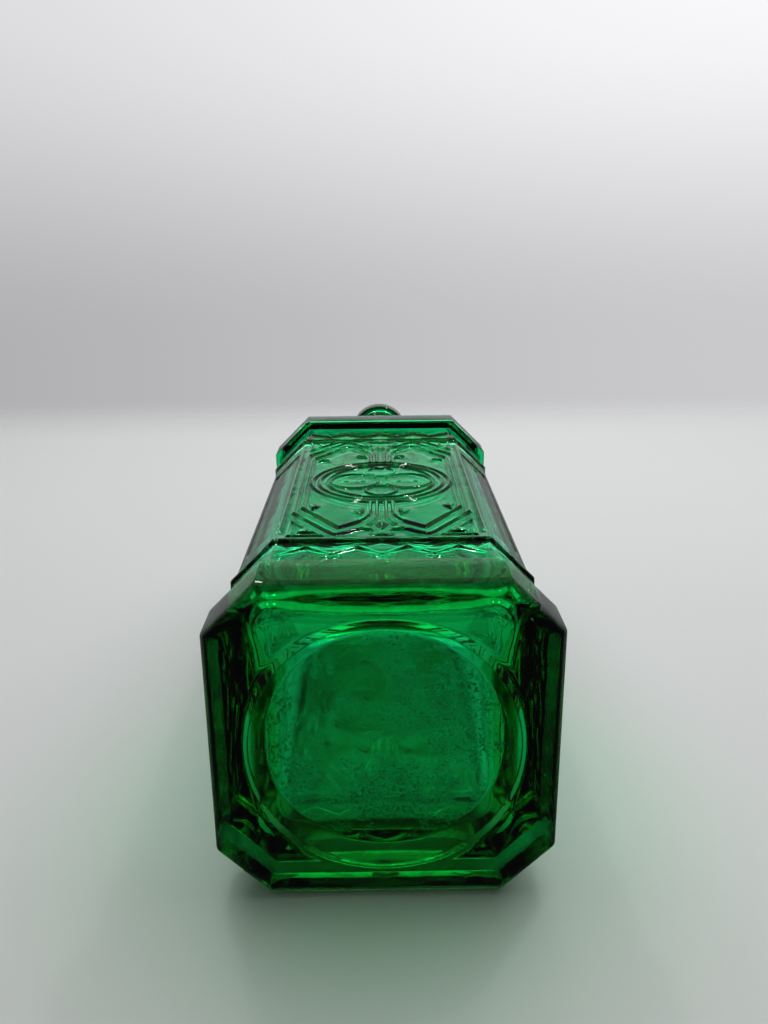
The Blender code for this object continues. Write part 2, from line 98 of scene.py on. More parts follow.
# Shoulder, neck and lip
SHOULDER_LEDGE = 0.0035
SHOULDER_HEIGHT = 0.038
NECK_ROOT_RADIUS = 0.017
NECK_TOP_RADIUS = 0.0126
NECK_LENGTH = 0.1016
NECK_WALL = 0.0036
LIP_RADIUS = 0.015
LIP_HEIGHT = 0.012
LIP_ROUNDING = 0.0018
BORE_RADIUS = 0.0092
MOUTH_ROUNDING = 0.001

# The raised ornament
RELIEF_HEIGHT = 0.0008
RELIEF_SLOPE = 0.0007
FINE_HEIGHT = 0.0006
FINE_SLOPE = 0.0004
RING_MARGIN = 0.005
RING_WIDTH = 0.0017
RING_HEIGHT = 0.0005
RING_SPACING = 0.0024
RING_HOLLOW = 0.0026
FINE_WIDTH = 0.0013
RAIL_WIDTH = 0.0015
LENS_WIDTH = 0.0064
LENS_HEIGHT = 0.003
ZIGZAG_RISE = 0.0046
ZIGZAG_GAP = 0.001
ZIGZAG_DROP = 0.0038
ZIGZAG_WIDTH = 0.002
ZIGZAG_TAIL = 0.0018
ZIGZAG_PEAKS = 4
TOOTH_WIDTH = 0.0034
TOOTH_HEIGHT = 0.0016
SEAM_RISE = 0.00012
SEAM_REACH = 0.0007

# The lobes as shares of the inner ring's radius, and their pearls as shares of the lobe's radius
SIDE_LOBE_SHARE = 0.45
SIDE_REACH_SHARE = 0.5
END_LOBE_SHARE = 0.28
END_REACH_SHARE = 0.6
PEARL_SHARE = 0.16
PEARL_SPREAD_SHARE = 0.74

# Places on the panel, as shares of its half width and its half height, for its lower right quarter
INNER_RAIL_SHARES = (
    (0.05, -0.42), (0.05, -0.64), (0.075, -0.715), (0.125, -0.79),
    (0.241, -0.872), (0.466, -0.95), (0.932, -0.6), (0.932, 0.0),
)
OUTER_RAIL_SHARES = (
    (0.122, -0.415), (0.122, -0.58), (0.14, -0.64), (0.19, -0.705),
    (0.271, -0.765), (0.436, -0.838), (0.85, -0.515), (0.85, 0.0),
)
CORNER_SHARES = ((0.935, -0.74), (0.59, -0.965), (0.935, -0.965))
CORNER_DART_SHARES = ((0.79, -0.82), (0.65, -0.918), (0.86, -0.918))
DART_SHARES = ((0.81, -0.43), (0.65, -0.485), (0.75, -0.56))
LEAF_SHARES = ((0.17, -0.53), (0.33, -0.57), (0.2, -0.65))
WEDGE_SHARES = ((0.165, -0.8), (0.075, -0.884), (0.35, -0.884))
FOOT_DART_SHARES = ((0.0, -0.915), (-0.12, -0.972), (0.12, -0.972))
DIAMOND_SHARES = ((0.0, -0.7), (0.075, -0.79), (0.0, -0.88), (-0.075, -0.79))

# The stopper
CORK_CLEARANCE = 0.0003
CORK_LENGTH = 0.024
CORK_CHAMFER = 0.0012
CORK_TAPER = 0.0003
GRIP_RADIUS = 0.0128
GRIP_HEIGHT = 0.009
GRIP_ROUNDING = 0.002
GRIP_FOOT_RADIUS = 0.0112
SCRIBE_SHARES = (0.34, 0.58)
SCRIBE_WIDTH = 0.0006
SCRIBE_DEPTH = 0.0003
DISH_DEPTH = 0.0007
PEG_RADIUS = 0.004
PEG_LENGTH = 0.009
GLUE_GAP = 0.0003
SEAT_GAP = 0.0003

# How finely the surfaces are divided
LINE_LEVELS = (-0.3, 0.1, 0.5, 1.0)
LINE_SPACING = 0.0022
ROW_SPACING = 0.0044
GRID_SPACING = 0.0044
LINE_CLEARANCE = 0.0009
FLAT_COLUMNS = 11
ARC_COLUMNS = 3
CUT_COLUMNS = 3
FILLET_STEPS = 4
HEEL_STEPS = 7
RIM_STEPS = 4
SHOULDER_STEPS = 27
INNER_SHOULDER_STEPS = 23
LIP_STEPS = 6
BEAD_STEPS = 8
RING_STEPS = 80
LOBE_STEPS = 32
PEARL_STEPS = 12
END_STEPS = 4
TURNED_STEPS = 112
DISH_STEPS = 8
RING_SPACING_FINE = 0.0012
RING_SPACING_WIDE = 0.0031
FLOOR_CENTRE_SHARE = 0.06
CORK_SPACING = 0.0004
GRIP_SPACING = 0.0004
CDT_GAP = 0.000001
MERGE_GAP = 0.00001

FACE_EDGE = HALF_WIDTH - CORNER_CUT
BEAD_BOTTOM = FOOT_HEIGHT + BAND_HEIGHT
PANEL_BOTTOM = BEAD_BOTTOM + BEAD_HEIGHT
PANEL_TOP = PANEL_BOTTOM + PANEL_HEIGHT
PANEL_MIDDLE = (PANEL_BOTTOM + PANEL_TOP) / 2
BODY_HEIGHT = PANEL_TOP + BEAD_HEIGHT + BAND_HEIGHT + CAP_HEIGHT
SHOULDER_TOP = BODY_HEIGHT + SHOULDER_HEIGHT
LIP_BOTTOM = SHOULDER_TOP + NECK_LENGTH
MOUTH_TOP = LIP_BOTTOM + LIP_HEIGHT
RECESS_RADIUS = HALF_WIDTH - HEEL_RADIUS - STANDING_RIM
INNER_HALF = HALF_WIDTH - PANEL_INSET - PANEL_WALL
FLOOR_LEVEL = RECESS_DEPTH + RECESS_CROWN + FLOOR_THICKNESS
NICHE_HALF = CORNER_CUT / sqrt(2) - NICHE_MARGIN
EIGHTH = pi / 4
CUT_DISTANCE = (HALF_WIDTH + FACE_EDGE) * sqrt(0.5)

# How far each surface follows the glass's waves
OUTER_SWAY = 1.0
BASE_SWAY = 0.6
NECK_SWAY = 0.6
INNER_SWAY = 4.0
RIM_SWAY = 0.0

# The glass: it takes up red most, then blue, and lets green through
GLASS_IOR = 1.52
GLASS_COLOUR = (0.0, 0.888, 0.68, 1.0)
GLASS_DENSITY = 400.0

# The heel and margin darkened by painted shade: how wide its edges fade, and how far up the heel it reaches
SHADE_FADE_IN = 0.002
SHADE_FADE_OUT = 0.0005
SHADE_FULL_SHARE = 0.8
SHADE_END_SHARE = 1.1

# The photograph's camera, its turns in radians
CAMERA_PLACE = (-0.000768, -0.112196, -0.172552)
CAMERA_TILT = 0.3154
CAMERA_YAW = 0.0062
CAMERA_ROLL = -0.0098
CAMERA_LENS = 31.29
CAMERA_NEAR = 0.01

# The board and the floor, and the green light painted on the board round the bottle's foot, where light
# through the glass would fall
STAGE_SIZE = 3.0
BOARD_GAP = 0.0001
FLOOR_GAP = 0.0003
BOARD_FADE = 0.46
BOARD_END = 0.64
BOARD_COLOUR = (0.62, 0.63, 0.63, 1.0)
FLOOR_COLOUR = (0.66, 0.66, 0.66, 1.0)
PAINTED_GREEN_LIGHT = (0.53, 0.66, 0.57, 1.0)
PAINTED_LIGHT_CENTRE = (0.0, HALF_WIDTH, 0.03)
PAINTED_LIGHT_NEAR = 0.04
PAINTED_LIGHT_FAR = 0.12

# The two small lamps, the backdrop, the room that the glass mirrors, and the light from all round
GLINT_TARGET = (0.0, 0.0, 0.1)
GLINT_SIZE = (0.06, 0.1)
GLINT_POWER = 0.6
BACKDROP_TINT = (0.975, 0.97, 1.0, 1.0)
ROOM_TINT = (0.94, 1.0, 1.0, 1.0)
ROOM_STRENGTH = 0.46
ROOM_LEAST = 0.035
LIGHT_TINT = (1.0, 1.0, 0.97, 1.0)
LIGHT_STRENGTH = 0.15


def edge_at(inset):
    """Half a flat face's width, this far behind the foot's face."""
    return FACE_EDGE - (sqrt(2) - 1) * inset


def swell(share):
    """From 0 to 1 and level at both ends, for an array of shares."""
    share = np.clip(share, 0.0, 1.0)
    return share * share * (3 - 2 * share)


def arc(centre, radius, start, end, steps):
    turns = [start + (end - start) * step / steps for step in range(steps + 1)]
    return [centre + Vector((cos(turn), sin(turn))) * radius for turn in turns]


def rounded_line(corners, radius, steps):
    """A line through corners, each inner one rounded with up to this radius."""
    corners = [Vector(corner) for corner in corners]
    points = [corners[0]]
    for before, corner, after in zip(corners, corners[1:], corners[2:]):
        arrive = corner - before
        leave = after - corner
        turn = arrive.angle_signed(leave)
        reach = min(radius * abs(tan(turn / 2)), arrive.length / 2, leave.length / 2)
        bend = reach / abs(tan(turn / 2))
        start = corner - arrive.normalized() * reach
        side = arrive.normalized().orthogonal() * (-1 if turn > 0 else 1)
        centre = start + side * bend
        first = atan2(start.y - centre.y, start.x - centre.x)
        points += arc(centre, bend, first, first - turn, steps)
    points.append(corners[-1])
    return points


def divided(points, spacing, closed=False):
    """The same line with points no further apart than the spacing."""
    ends = points[1:] + points[:1] if closed else points[1:]
    found = []
    for start, end in zip(points, ends):
        count = max(1, ceil((end - start).length / spacing))
        found += [start.lerp(end, step / count) for step in range(count)]
    return found if closed else found + [points[-1]]


def step_to_band(start, rise):
    """From the foot's face in to the band, by a slope of this height."""
    corners = [start, (FOOT_HEIGHT, 0.0), (FOOT_HEIGHT + rise, BAND_INSET), (BEAD_BOTTOM, BAND_INSET)]
    return rounded_line(corners, STEP_ROUNDING, FILLET_STEPS)[1:]


def body_profile():
    """Heights and insets of the body's outside, from the base up."""
    heel = arc(Vector((HEEL_RADIUS, HEEL_RADIUS)), HEEL_RADIUS, pi, 1.5 * pi, HEEL_STEPS)
    crest = BEAD_HEIGHT * BEAD_CREST_SHARE
    turns = [pi / 2 * step / BEAD_STEPS for step in range(1, BEAD_STEPS + 1)]
    bead = [(crest * (1 - cos(turn)), BAND_INSET + (BEAD_INSET - BAND_INSET) * sin(turn)) for turn in turns]
    for turn in turns:
        inset = TAIL_INSET + (BEAD_INSET - TAIL_INSET) * cos(turn)
        bead.append((crest + (BEAD_HEIGHT - crest) * sin(turn), inset))
    bead.append((BEAD_HEIGHT + BEAD_TAIL, PANEL_INSET))
    bead = [Vector(place) + Vector((BEAD_BOTTOM, 0.0)) for place in bead]
    lower, upper = (step_to_band(heel[-1], rise) + bead for rise in (STEP_RISE, CAP_STEP_RISE))
    upper = [Vector((2 * PANEL_MIDDLE - point.x, point.y)) for point in reversed(upper)]
    cap_centre = Vector((BODY_HEIGHT - CAP_EDGE_RADIUS, CAP_EDGE_RADIUS))
    cap = arc(cap_centre, CAP_EDGE_RADIUS, -pi / 2, 0.0, FILLET_STEPS)
    return np.array([tuple(point) for point in heel + lower + upper + cap])


PROFILE = body_profile()
PROFILE_RUN = np.concatenate([[0.0], np.cumsum(np.hypot(*np.diff(PROFILE, axis=0).T))])
EDGE_TANGENT = EDGE_ROUNDING * tan(EIGHTH / 2)
FLAT_RUN = FACE_EDGE - EDGE_TANGENT
ARC_RUN = EDGE_ROUNDING * EIGHTH
CUT_RUN = CORNER_CUT / sqrt(2) - EDGE_TANGENT
HALF_RUN = FLAT_RUN + ARC_RUN + CUT_RUN


def eight_sided(across, face, edge, rounding):
    """Points on half of one side of an eight-sided outline, and the way that the outline faces there.

    across runs along the foot's outline: its flat, its rounded edge, and half of the cut corner.
    """
    tangent = rounding * tan(EIGHTH / 2)
    flat = edge - tangent
    turn = np.clip((across - FLAT_RUN) / ARC_RUN, 0.0, 1.0) * EIGHTH
    beyond = np.clip((across - FLAT_RUN - ARC_RUN) / CUT_RUN, 0.0, 1.0)
    cut = beyond * ((face - edge) / sqrt(2) - tangent)
    x = np.clip(across / FLAT_RUN, 0.0, 1.0) * flat + rounding * np.sin(turn) + cut * cos(EIGHTH)
    out = face - rounding * (1 - np.cos(turn)) - cut * sin(EIGHTH)
    return x, out, turn


def run_at(height):
    """How far along the profile a height lies."""
    return np.interp(height, PROFILE[:, 0], PROFILE_RUN)


class Strip:
    """A raised strip of even width along a path of straight runs, with round ends."""

    def __init__(self, path, width, height, slope):
        self.path = [Vector(point) for point in path]
        self.width, self.height, self.slope = width, height, slope

    def depth(self, x, z):
        """How far points lie inside the strip's edge."""
        nearest = np.full(x.shape, np.inf)
        for start, end in zip(self.path, self.path[1:]):
            run = end - start
            share = ((x - start.x) * run.x + (z - start.y) * run.y) / run.length_squared
            share = np.clip(share, 0.0, 1.0)
            off = np.hypot(x - start.x - share * run.x, z - start.y - share * run.y)
            nearest = np.minimum(nearest, off)
        return self.width / 2 - nearest

    def side(self, path, reach):
        """A line beside the path, rounded where the path turns away from it."""
        runs = [(end - start).normalized() for start, end in zip(path, path[1:])]
        points = [path[0] + runs[0].orthogonal() * reach]
        for corner, before, after in zip(path[1:], runs, runs[1:]):
            turn = before.angle_signed(after)
            if turn < 0:
                middle = (before.orthogonal() + after.orthogonal()).normalized()
                points.append(corner + middle * reach / cos(turn / 2))
            else:
                first = atan2(before.x, -before.y)
                points += arc(corner, reach, first, first - turn, END_STEPS)
        points.append(path[-1] + runs[-1].orthogonal() * reach)
        return points

    def lines(self):
        found = []
        for level in LINE_LEVELS:
            reach = self.width / 2 - self.slope * level
            if reach < MERGE_GAP:
                found.append((self.path, False))
                continue
            loop = []
            for path in (self.path, self.path[::-1]):
                run = (path[-1] - path[-2]).normalized()
                first = atan2(run.x, -run.y)
                loop += self.side(path, reach)
                loop += arc(path[-1], reach, first, first - pi, END_STEPS)[1:-1]
            found.append((loop, True))
        return found


class Plate:
    """A raised flat with straight edges, none of its corners pointing in."""

    def __init__(self, corners):
        self.corners = [Vector(corner) for corner in corners]
        if sum(start.cross(end) for start, end in self.edges()) < 0:
            self.corners.reverse()
        self.height, self.slope = FINE_HEIGHT, FINE_SLOPE

    def edges(self):
        return zip(self.corners, self.corners[1:] + self.corners[:1])

    def depth(self, x, z):
        nearest = np.full(x.shape, np.inf)
        for start, end in self.edges():
            run = (end - start).normalized()
            nearest = np.minimum(nearest, run.x * (z - start.y) - run.y * (x - start.x))
        return nearest

    def lines(self):
        before = self.corners[-1:] + self.corners[:-1]
        after = self.corners[1:] + self.corners[:1]
        found = []
        for level in LINE_LEVELS:
            loop = []
            for corner, last, following in zip(self.corners, before, after):
                arrive = (corner - last).normalized()
                leave = (following - corner).normalized()
                shift = self.slope * level / abs(arrive.cross(leave))
                loop.append(corner + (leave - arrive) * shift)
            found.append((loop, True))
        return found


def circle_line(centre, radius, steps):
    """A circle's points, and that it is closed."""
    return arc(centre, radius, 0.0, 2 * pi, steps)[:-1], True


class Hoop:
    """A raised ring."""

    def __init__(self, centre, radius, width, height, slope, steps):
        self.centre, self.radius, self.width = centre, radius, width
        self.height, self.slope, self.steps = height, slope, steps

    def depth(self, x, z):
        off = np.hypot(x - self.centre.x, z - self.centre.y)
        return self.width / 2 - np.abs(off - self.radius)

    def lines(self):
        radii = set()
        for level in LINE_LEVELS:
            reach = max(0.0, self.width / 2 - self.slope * level)
            radii |= {self.radius - reach, self.radius + reach}
        return [circle_line(self.centre, radius, self.steps) for radius in radii]


class Pearl:
    """A raised round spot."""

    def __init__(self, centre, radius):
        self.centre, self.radius = centre, radius
        self.height, self.slope = FINE_HEIGHT, radius

    def depth(self, x, z):
        return self.radius - np.hypot(x - self.centre.x, z - self.centre.y)

    def lines(self):
        radii = [self.radius * (1 - level) for level in LINE_LEVELS if level < 1]
        return [circle_line(self.centre, radius, PEARL_STEPS) for radius in radii]


def panel_points(shares, flip_x, flip_z):
    """Places on the panel from shares, flipped into one of its quarters."""
    across, up = flip_x * edge_at(PANEL_INSET), flip_z * PANEL_HEIGHT / 2
    return [Vector((share[0] * across, PANEL_MIDDLE + share[1] * up)) for share in shares]


def ridge(path):
    """A fine line of the ornament, with a crest in place of a flat."""
    return Strip(path, FINE_WIDTH, FINE_HEIGHT, FINE_WIDTH / 2)


def fine_hoop(centre, radius, steps):
    return Hoop(centre, radius, FINE_WIDTH, FINE_HEIGHT, FINE_WIDTH / 2, steps)


def panel_ornament():
    """Rings, strap rails, darts and leaves of one panel."""
    middle = Vector((0.0, PANEL_MIDDLE))
    radius = edge_at(PANEL_INSET) - RING_MARGIN
    second = radius - RING_SPACING
    hollow = second - RING_HOLLOW
    shapes = []
    for ring in (radius, second):
        shapes.append(Hoop(middle, ring, RING_WIDTH, RING_HEIGHT, RELIEF_SLOPE, RING_STEPS))
    shapes.append(fine_hoop(middle, hollow, RING_STEPS))
    for flip_z in (1, -1):
        for flip_x in (1, -1):
            for shares in (INNER_RAIL_SHARES, OUTER_RAIL_SHARES):
                path = panel_points(shares, flip_x, flip_z)
                shapes.append(Strip(path, RAIL_WIDTH, RELIEF_HEIGHT, RAIL_WIDTH / 2))
            corner = panel_points(CORNER_SHARES, flip_x, flip_z)
            shapes += [ridge(side) for side in zip(corner, corner[1:] + corner[:1])]
            for shares in (CORNER_DART_SHARES, DART_SHARES, LEAF_SHARES, WEDGE_SHARES):
                shapes.append(Plate(panel_points(shares, flip_x, flip_z)))
        for shares in (FOOT_DART_SHARES, DIAMOND_SHARES):
            shapes.append(Plate(panel_points(shares, 1, flip_z)))
        lens_end = PANEL_MIDDLE - flip_z * (hollow - FINE_WIDTH / 2)
        broad = lens_end + flip_z * LENS_HEIGHT / 3
        tip = lens_end + flip_z * LENS_HEIGHT
        shapes.append(Plate(((0.0, lens_end), (LENS_WIDTH / 2, broad), (0.0, tip), (-LENS_WIDTH / 2, broad))))
    return shapes + tracery(middle, hollow)


def tracery(middle, ring_radius):
    """The lobes inside the innermost ring, the larger pair with two pearls each."""
    shapes = []
    for side in (-1, 1):
        centre = middle + Vector((side * ring_radius * SIDE_REACH_SHARE, 0.0))
        radius = ring_radius * SIDE_LOBE_SHARE
        shapes.append(fine_hoop(centre, radius, LOBE_STEPS))
        for half in (-1, 1):
            place = centre + Vector((half * radius * PEARL_SPREAD_SHARE / 2, 0.0))
            shapes.append(Pearl(place, radius * PEARL_SHARE))
        centre = middle + Vector((0.0, side * ring_radius * END_REACH_SHARE))
        shapes.append(fine_hoop(centre, ring_radius * END_LOBE_SHARE, LOBE_STEPS))
    return shapes


def band_ornament(bottom, top):
    """A band's crossing legs with a tooth under each crossing; the upper band's are upside down."""
    shapes = []
    half_width = edge_at(BAND_INSET)
    pitch = 2 * (half_width - ZIGZAG_GAP) / ZIGZAG_PEAKS
    upward = copysign(1.0, top - bottom)
    crest = top - upward * ZIGZAG_DROP
    reach = ZIGZAG_TAIL / ZIGZAG_RISE * pitch / 2
    for peak in range(ZIGZAG_PEAKS):
        x = ZIGZAG_GAP - half_width + pitch * (peak + 0.5)
        for side in (-1, 1):
            valley = Vector((x + side * pitch / 2, crest - upward * ZIGZAG_RISE))
            shapes.append(Strip([(x, crest), valley], ZIGZAG_WIDTH, RELIEF_HEIGHT, ZIGZAG_WIDTH / 2))
            if abs(valley.x) < half_width - pitch / 4:
                tail = Vector((valley.x + side * reach, valley.y - upward * ZIGZAG_TAIL))
                shapes.append(ridge([valley, tail]))
    apex = crest - upward * (ZIGZAG_RISE + FINE_WIDTH)
    foot = apex - upward * TOOTH_HEIGHT
    for valley in range(1, ZIGZAG_PEAKS):
        x = ZIGZAG_GAP - half_width + pitch * valley
        shapes.append(Plate(((x, apex), (x - TOOTH_WIDTH / 2, foot), (x + TOOTH_WIDTH / 2, foot))))
    return shapes


def ornament_rise(x, z, shapes):
    """How high the ornament stands at points of a face."""
    rise = np.zeros(x.shape)
    for shape in shapes:
        rise = np.maximum(rise, shape.height * swell(shape.depth(x, z) / shape.slope))
    return rise


def niche_depth(across, z):
    """How deep the niche of a cut corner is at points of it."""
    side = NICHE_HALF - (HALF_RUN - across)
    ends = np.minimum(z - PANEL_BOTTOM - NICHE_END_GAP, PANEL_TOP - NICHE_END_GAP - z)
    return NICHE_DEPTH * swell(np.minimum(side, ends) / NICHE_SLOPE)


def columns():
    """Where the half side's ends are divided, from the middle outwards."""
    flat = np.linspace(0.0, FLAT_RUN, FLAT_COLUMNS + 1)
    bend = FLAT_RUN + ARC_RUN * np.arange(1, ARC_COLUMNS + 1) / ARC_COLUMNS
    cut = np.linspace(FLAT_RUN + ARC_RUN, HALF_RUN - SEAM_REACH, CUT_COLUMNS + 1)[1:]
    return np.concatenate([flat, bend, cut, [HALF_RUN - SEAM_REACH / 2, HALF_RUN]])


def half_side(shapes):
    """Triangles of half a side of the body, in the runs across it and up its profile."""
    points = []
    edges = []

    def add(line, closed=False):
        start = len(points)
        points.extend(line)
        edges.extend((start + step, start + step + 1) for step in range(len(line) - 1))
        if closed:
            edges.append((start + len(line) - 1, start))

    ends = columns()
    top = PROFILE_RUN[-1]
    for run in PROFILE_RUN:
        if run in (PROFILE_RUN[0], top):
            add([Vector((across, run)) for across in ends])
        else:
            add(divided([Vector((0.0, run)), Vector((HALF_RUN, run))], ROW_SPACING))
    fixed = [across for across in ends if across >= FLAT_RUN - MERGE_GAP]
    for across in [0.0, *fixed]:
        add(divided([Vector((across, 0.0)), Vector((across, top))], ROW_SPACING))
    for shape in shapes:
        for line, closed in shape.lines():
            line = [Vector((point.x, run_at(point.y))) for point in divided(line, LINE_SPACING, closed)]
            if max(point.x for point in line) > 0.0:
                add(line, closed)
    for level in LINE_LEVELS:
        shrink = NICHE_SLOPE * level
        left = HALF_RUN - NICHE_HALF + shrink
        low = run_at(PANEL_BOTTOM + NICHE_END_GAP + shrink)
        high = run_at(PANEL_TOP - NICHE_END_GAP - shrink)
        path = [(HALF_RUN, low), (left, low), (left, high), (HALF_RUN, high)]
        add(divided([Vector(place) for place in path], ROW_SPACING))
    points += spare_points(shapes)
    found = delaunay_2d_cdt(points, edges, [], 0, CDT_GAP)
    places = np.array([tuple(point) for point in found[0]])
    triangles = np.array(found[2])
    keep = places[triangles].mean(axis=1)[:, 0] > 0.0
    return places, triangles[keep]


def spare_points(shapes):
    """Points that fill the plain stretches of the half side, clear of every line."""
    across, height = np.meshgrid(
        np.arange(GRID_SPACING / 2, FLAT_RUN, GRID_SPACING),
        np.arange(FOOT_HEIGHT, BODY_HEIGHT - CAP_HEIGHT, GRID_SPACING),
    )
    across = across.ravel()
    height = height.ravel()
    clear = np.min(np.abs(height[:, None] - PROFILE[None, :, 0]), axis=1) > LINE_CLEARANCE
    for shape in shapes:
        depth = shape.depth(across, height)
        clear &= (depth < -LINE_CLEARANCE) | (depth > shape.slope + LINE_CLEARANCE)
    return [Vector(place) for place in zip(across[clear], run_at(height[clear]))]


class Shell:
    """A surface as it grows; sway says how far each point follows the glass's waves."""

    def __init__(self):
        self.points, self.faces, self.sway = [], [], []
        self.count = 0

    def add(self, points, faces, sway):
        self.points.append(points)
        self.faces += (np.asarray(faces) + self.count).tolist()
        self.sway.append(np.full(len(points), sway))
        self.count += len(points)

    def add_rings(self, rings, sway):
        """Faces between rings of as many points, facing out when the rings run upwards."""
        size = len(rings[0])
        low = np.arange(size * (len(rings) - 1)).reshape(-1, size)
        beside = np.roll(low, -1, axis=1)
        faces = np.stack([low, beside, beside + size, low + size], axis=-1)
        self.add(np.concatenate(rings), faces.reshape(-1, 4), sway)

    def close(self, ring, height, upwards, sway):
        """A fan from a ring to a point on the axis."""
        size = len(ring)
        pairs = [(index, (index + 1) % size) for index in range(size)]
        faces = [(*(pair if upwards else pair[::-1]), size) for pair in pairs]
        self.add(np.concatenate([ring, [[0.0, 0.0, height]]]), faces, sway)

    def mesh(self, name):
        mesh = bpy.data.meshes.new(name)
        mesh.from_pydata(np.concatenate(self.points).tolist(), [], self.faces)
        sway = mesh.attributes.new("sway", "FLOAT", "POINT")
        sway.data.foreach_set("value", np.concatenate(self.sway))
        return mesh


def seam_rise(across):
    return SEAM_RISE * swell(1 - (HALF_RUN - across) / SEAM_REACH)


def has_seam(side, mirrored):
    """Whether the cut corner at this end of a side carries one of the two mould seams."""
    return (side - mirrored) % 2 == 0


def placed(side, x, out, z):
    """Points of the side that faces -Y, turned to where a side is."""
    turn = side * pi / 2
    along = np.array([cos(turn), sin(turn), 0.0])
    away = np.array([sin(turn), -cos(turn), 0.0])
    up = np.array([0.0, 0.0, 1.0])
    return x[:, None] * along + out[:, None] * away + np.asarray(z)[:, None] * up


def add_sides(shell):
    """The body's faces and cut corners with their ornament, from the base to the cap's top."""
    shapes = panel_ornament()
    shapes += band_ornament(FOOT_HEIGHT, BEAD_BOTTOM)
    shapes += band_ornament(BODY_HEIGHT - CAP_HEIGHT, PANEL_TOP + BEAD_HEIGHT)
    places, triangles = half_side(shapes)
    across, run = places.T
    height = np.interp(run, PROFILE_RUN, PROFILE[:, 0])
    inset = np.interp(run, PROFILE_RUN, PROFILE[:, 1])
    x, out, turn = eight_sided(across, HALF_WIDTH - inset, edge_at(inset), EDGE_ROUNDING)
    rise = np.where(across < FLAT_RUN, ornament_rise(across, height, shapes), 0.0)
    rise = rise - niche_depth(across, height)
    for side in range(4):
        for mirrored in (False, True):
            lift = rise + seam_rise(across) if has_seam(side, mirrored) else rise
            x_lifted = x + lift * np.sin(turn)
            points = placed(side, -x_lifted if mirrored else x_lifted, out + lift * np.cos(turn), height)
            faces = triangles[:, ::-1] if mirrored else triangles
            shell.add(points, faces, OUTER_SWAY)


def outline(face, edge, rounding, roundness, height, seam=0.0, bow=0.0):
    """One ring round the body: an eight-sided outline drawn part of the way, or all of it, to a circle.

    Seam is the share of the mould seams' rise, and bow that of the inner walls' bow, which draws in the
    middle of each side.
    """
    half = columns()
    across = np.concatenate([-half[:0:-1], half[:-1]])
    size = np.abs(across)
    guide_x, guide_out, _ = eight_sided(size, HALF_WIDTH, FACE_EDGE, EDGE_ROUNDING)
    reach = np.hypot(guide_x, guide_out)
    x, out, _ = eight_sided(size, face, edge, rounding)
    x = x + (guide_x / reach * face - x) * roundness
    out = out + (guide_out / reach * face - out) * roundness
    middle = 1 - (x / x.max()) ** 2
    rings = []
    for side in range(4):
        drawn_in = bow * middle * (SIDE_FLOOR_BOW if side % 2 else FLOOR_BOW)
        mirrored = across < 0
        lift = seam * seam_rise(size) * np.where(has_seam(side, mirrored), 1.0, 0.0)
        far = np.hypot(x, out)
        x_lifted = x * (1 + lift / far)
        out_lifted = out * (1 + lift / far)
        z = np.full(len(x), height)
        rings.append(placed(side, np.where(mirrored, -x_lifted, x_lifted), out_lifted - drawn_in, z))
    return np.concatenate(rings)


def circle(radius, height, seam=0.0):
    return outline(radius, radius, 0.0, 1.0, height, seam)


def turned_rings(profile, seam=0.0):
    return [circle(radius, height, seam) for radius, height in profile]


def ease(share):
    return sin(pi / 2 * share) ** 2


def spaced(start, end, spacing):
    """Even steps from one value to another, the ends among them."""
    return np.linspace(start, end, max(2, ceil(abs(end - start) / spacing) + 1))


def add_base(shell):
    """The rim that the bottle stands on, and the round hollow inside it."""
    start = HALF_WIDTH - HEEL_RADIUS
    outer = circle(RECESS_RADIUS, 0.0)
    rim = outline(start, edge_at(HEEL_RADIUS), EDGE_ROUNDING, 0.0, 0.0)
    rings = [outer + (rim - outer) * share for share in np.linspace(0.0, 1.0, RIM_STEPS + 1)]
    shell.add_rings(rings, RIM_SWAY)
    inner_radius = RECESS_RADIUS - RECESS_SLOPE
    flat_radius = inner_radius - 2 * STEP_ROUNDING
    rim = [(RECESS_RADIUS + STEP_ROUNDING, 0.0), (RECESS_RADIUS, 0.0)]
    corners = [*rim, (inner_radius, RECESS_DEPTH), (flat_radius, RECESS_DEPTH)]
    slope = rounded_line(corners, 3 * STEP_ROUNDING, FILLET_STEPS)
    crown = []
    for radius in spaced(flat_radius, RING_SPACING_FINE, RING_SPACING_FINE)[1:]:
        share = radius / inner_radius
        crown.append((radius, RECESS_DEPTH + RECESS_CROWN * (1 - share * share)))
    rings = turned_rings([(RECESS_RADIUS, 0.0), *slope[2:], *crown])[::-1]
    shell.add_rings(rings, BASE_SWAY)
    shell.close(rings[0], RECESS_DEPTH + RECESS_CROWN, False, BASE_SWAY)


def shoulder_rings(face, edge, rounding, root, bottom, shares, seam=0.0):
    """Rings from an eight-sided outline to the neck's round root."""
    rings = []
    for share in shares:
        drawn = ease(share)
        here = face + (root - face) * drawn
        height = bottom + SHOULDER_HEIGHT * share
        rings.append(outline(here, edge * here / face, rounding, drawn, height, seam))
    return rings


def neck_rings(start, end, start_radius, end_radius, seam=0.0):
    """Rings between two heights, which aren't among them."""
    heights = spaced(start, end, RING_SPACING_WIDE)[1:-1]
    slant = (end_radius - start_radius) / (end - start)
    return [circle(start_radius + slant * (height - start), height, seam) for height in heights]


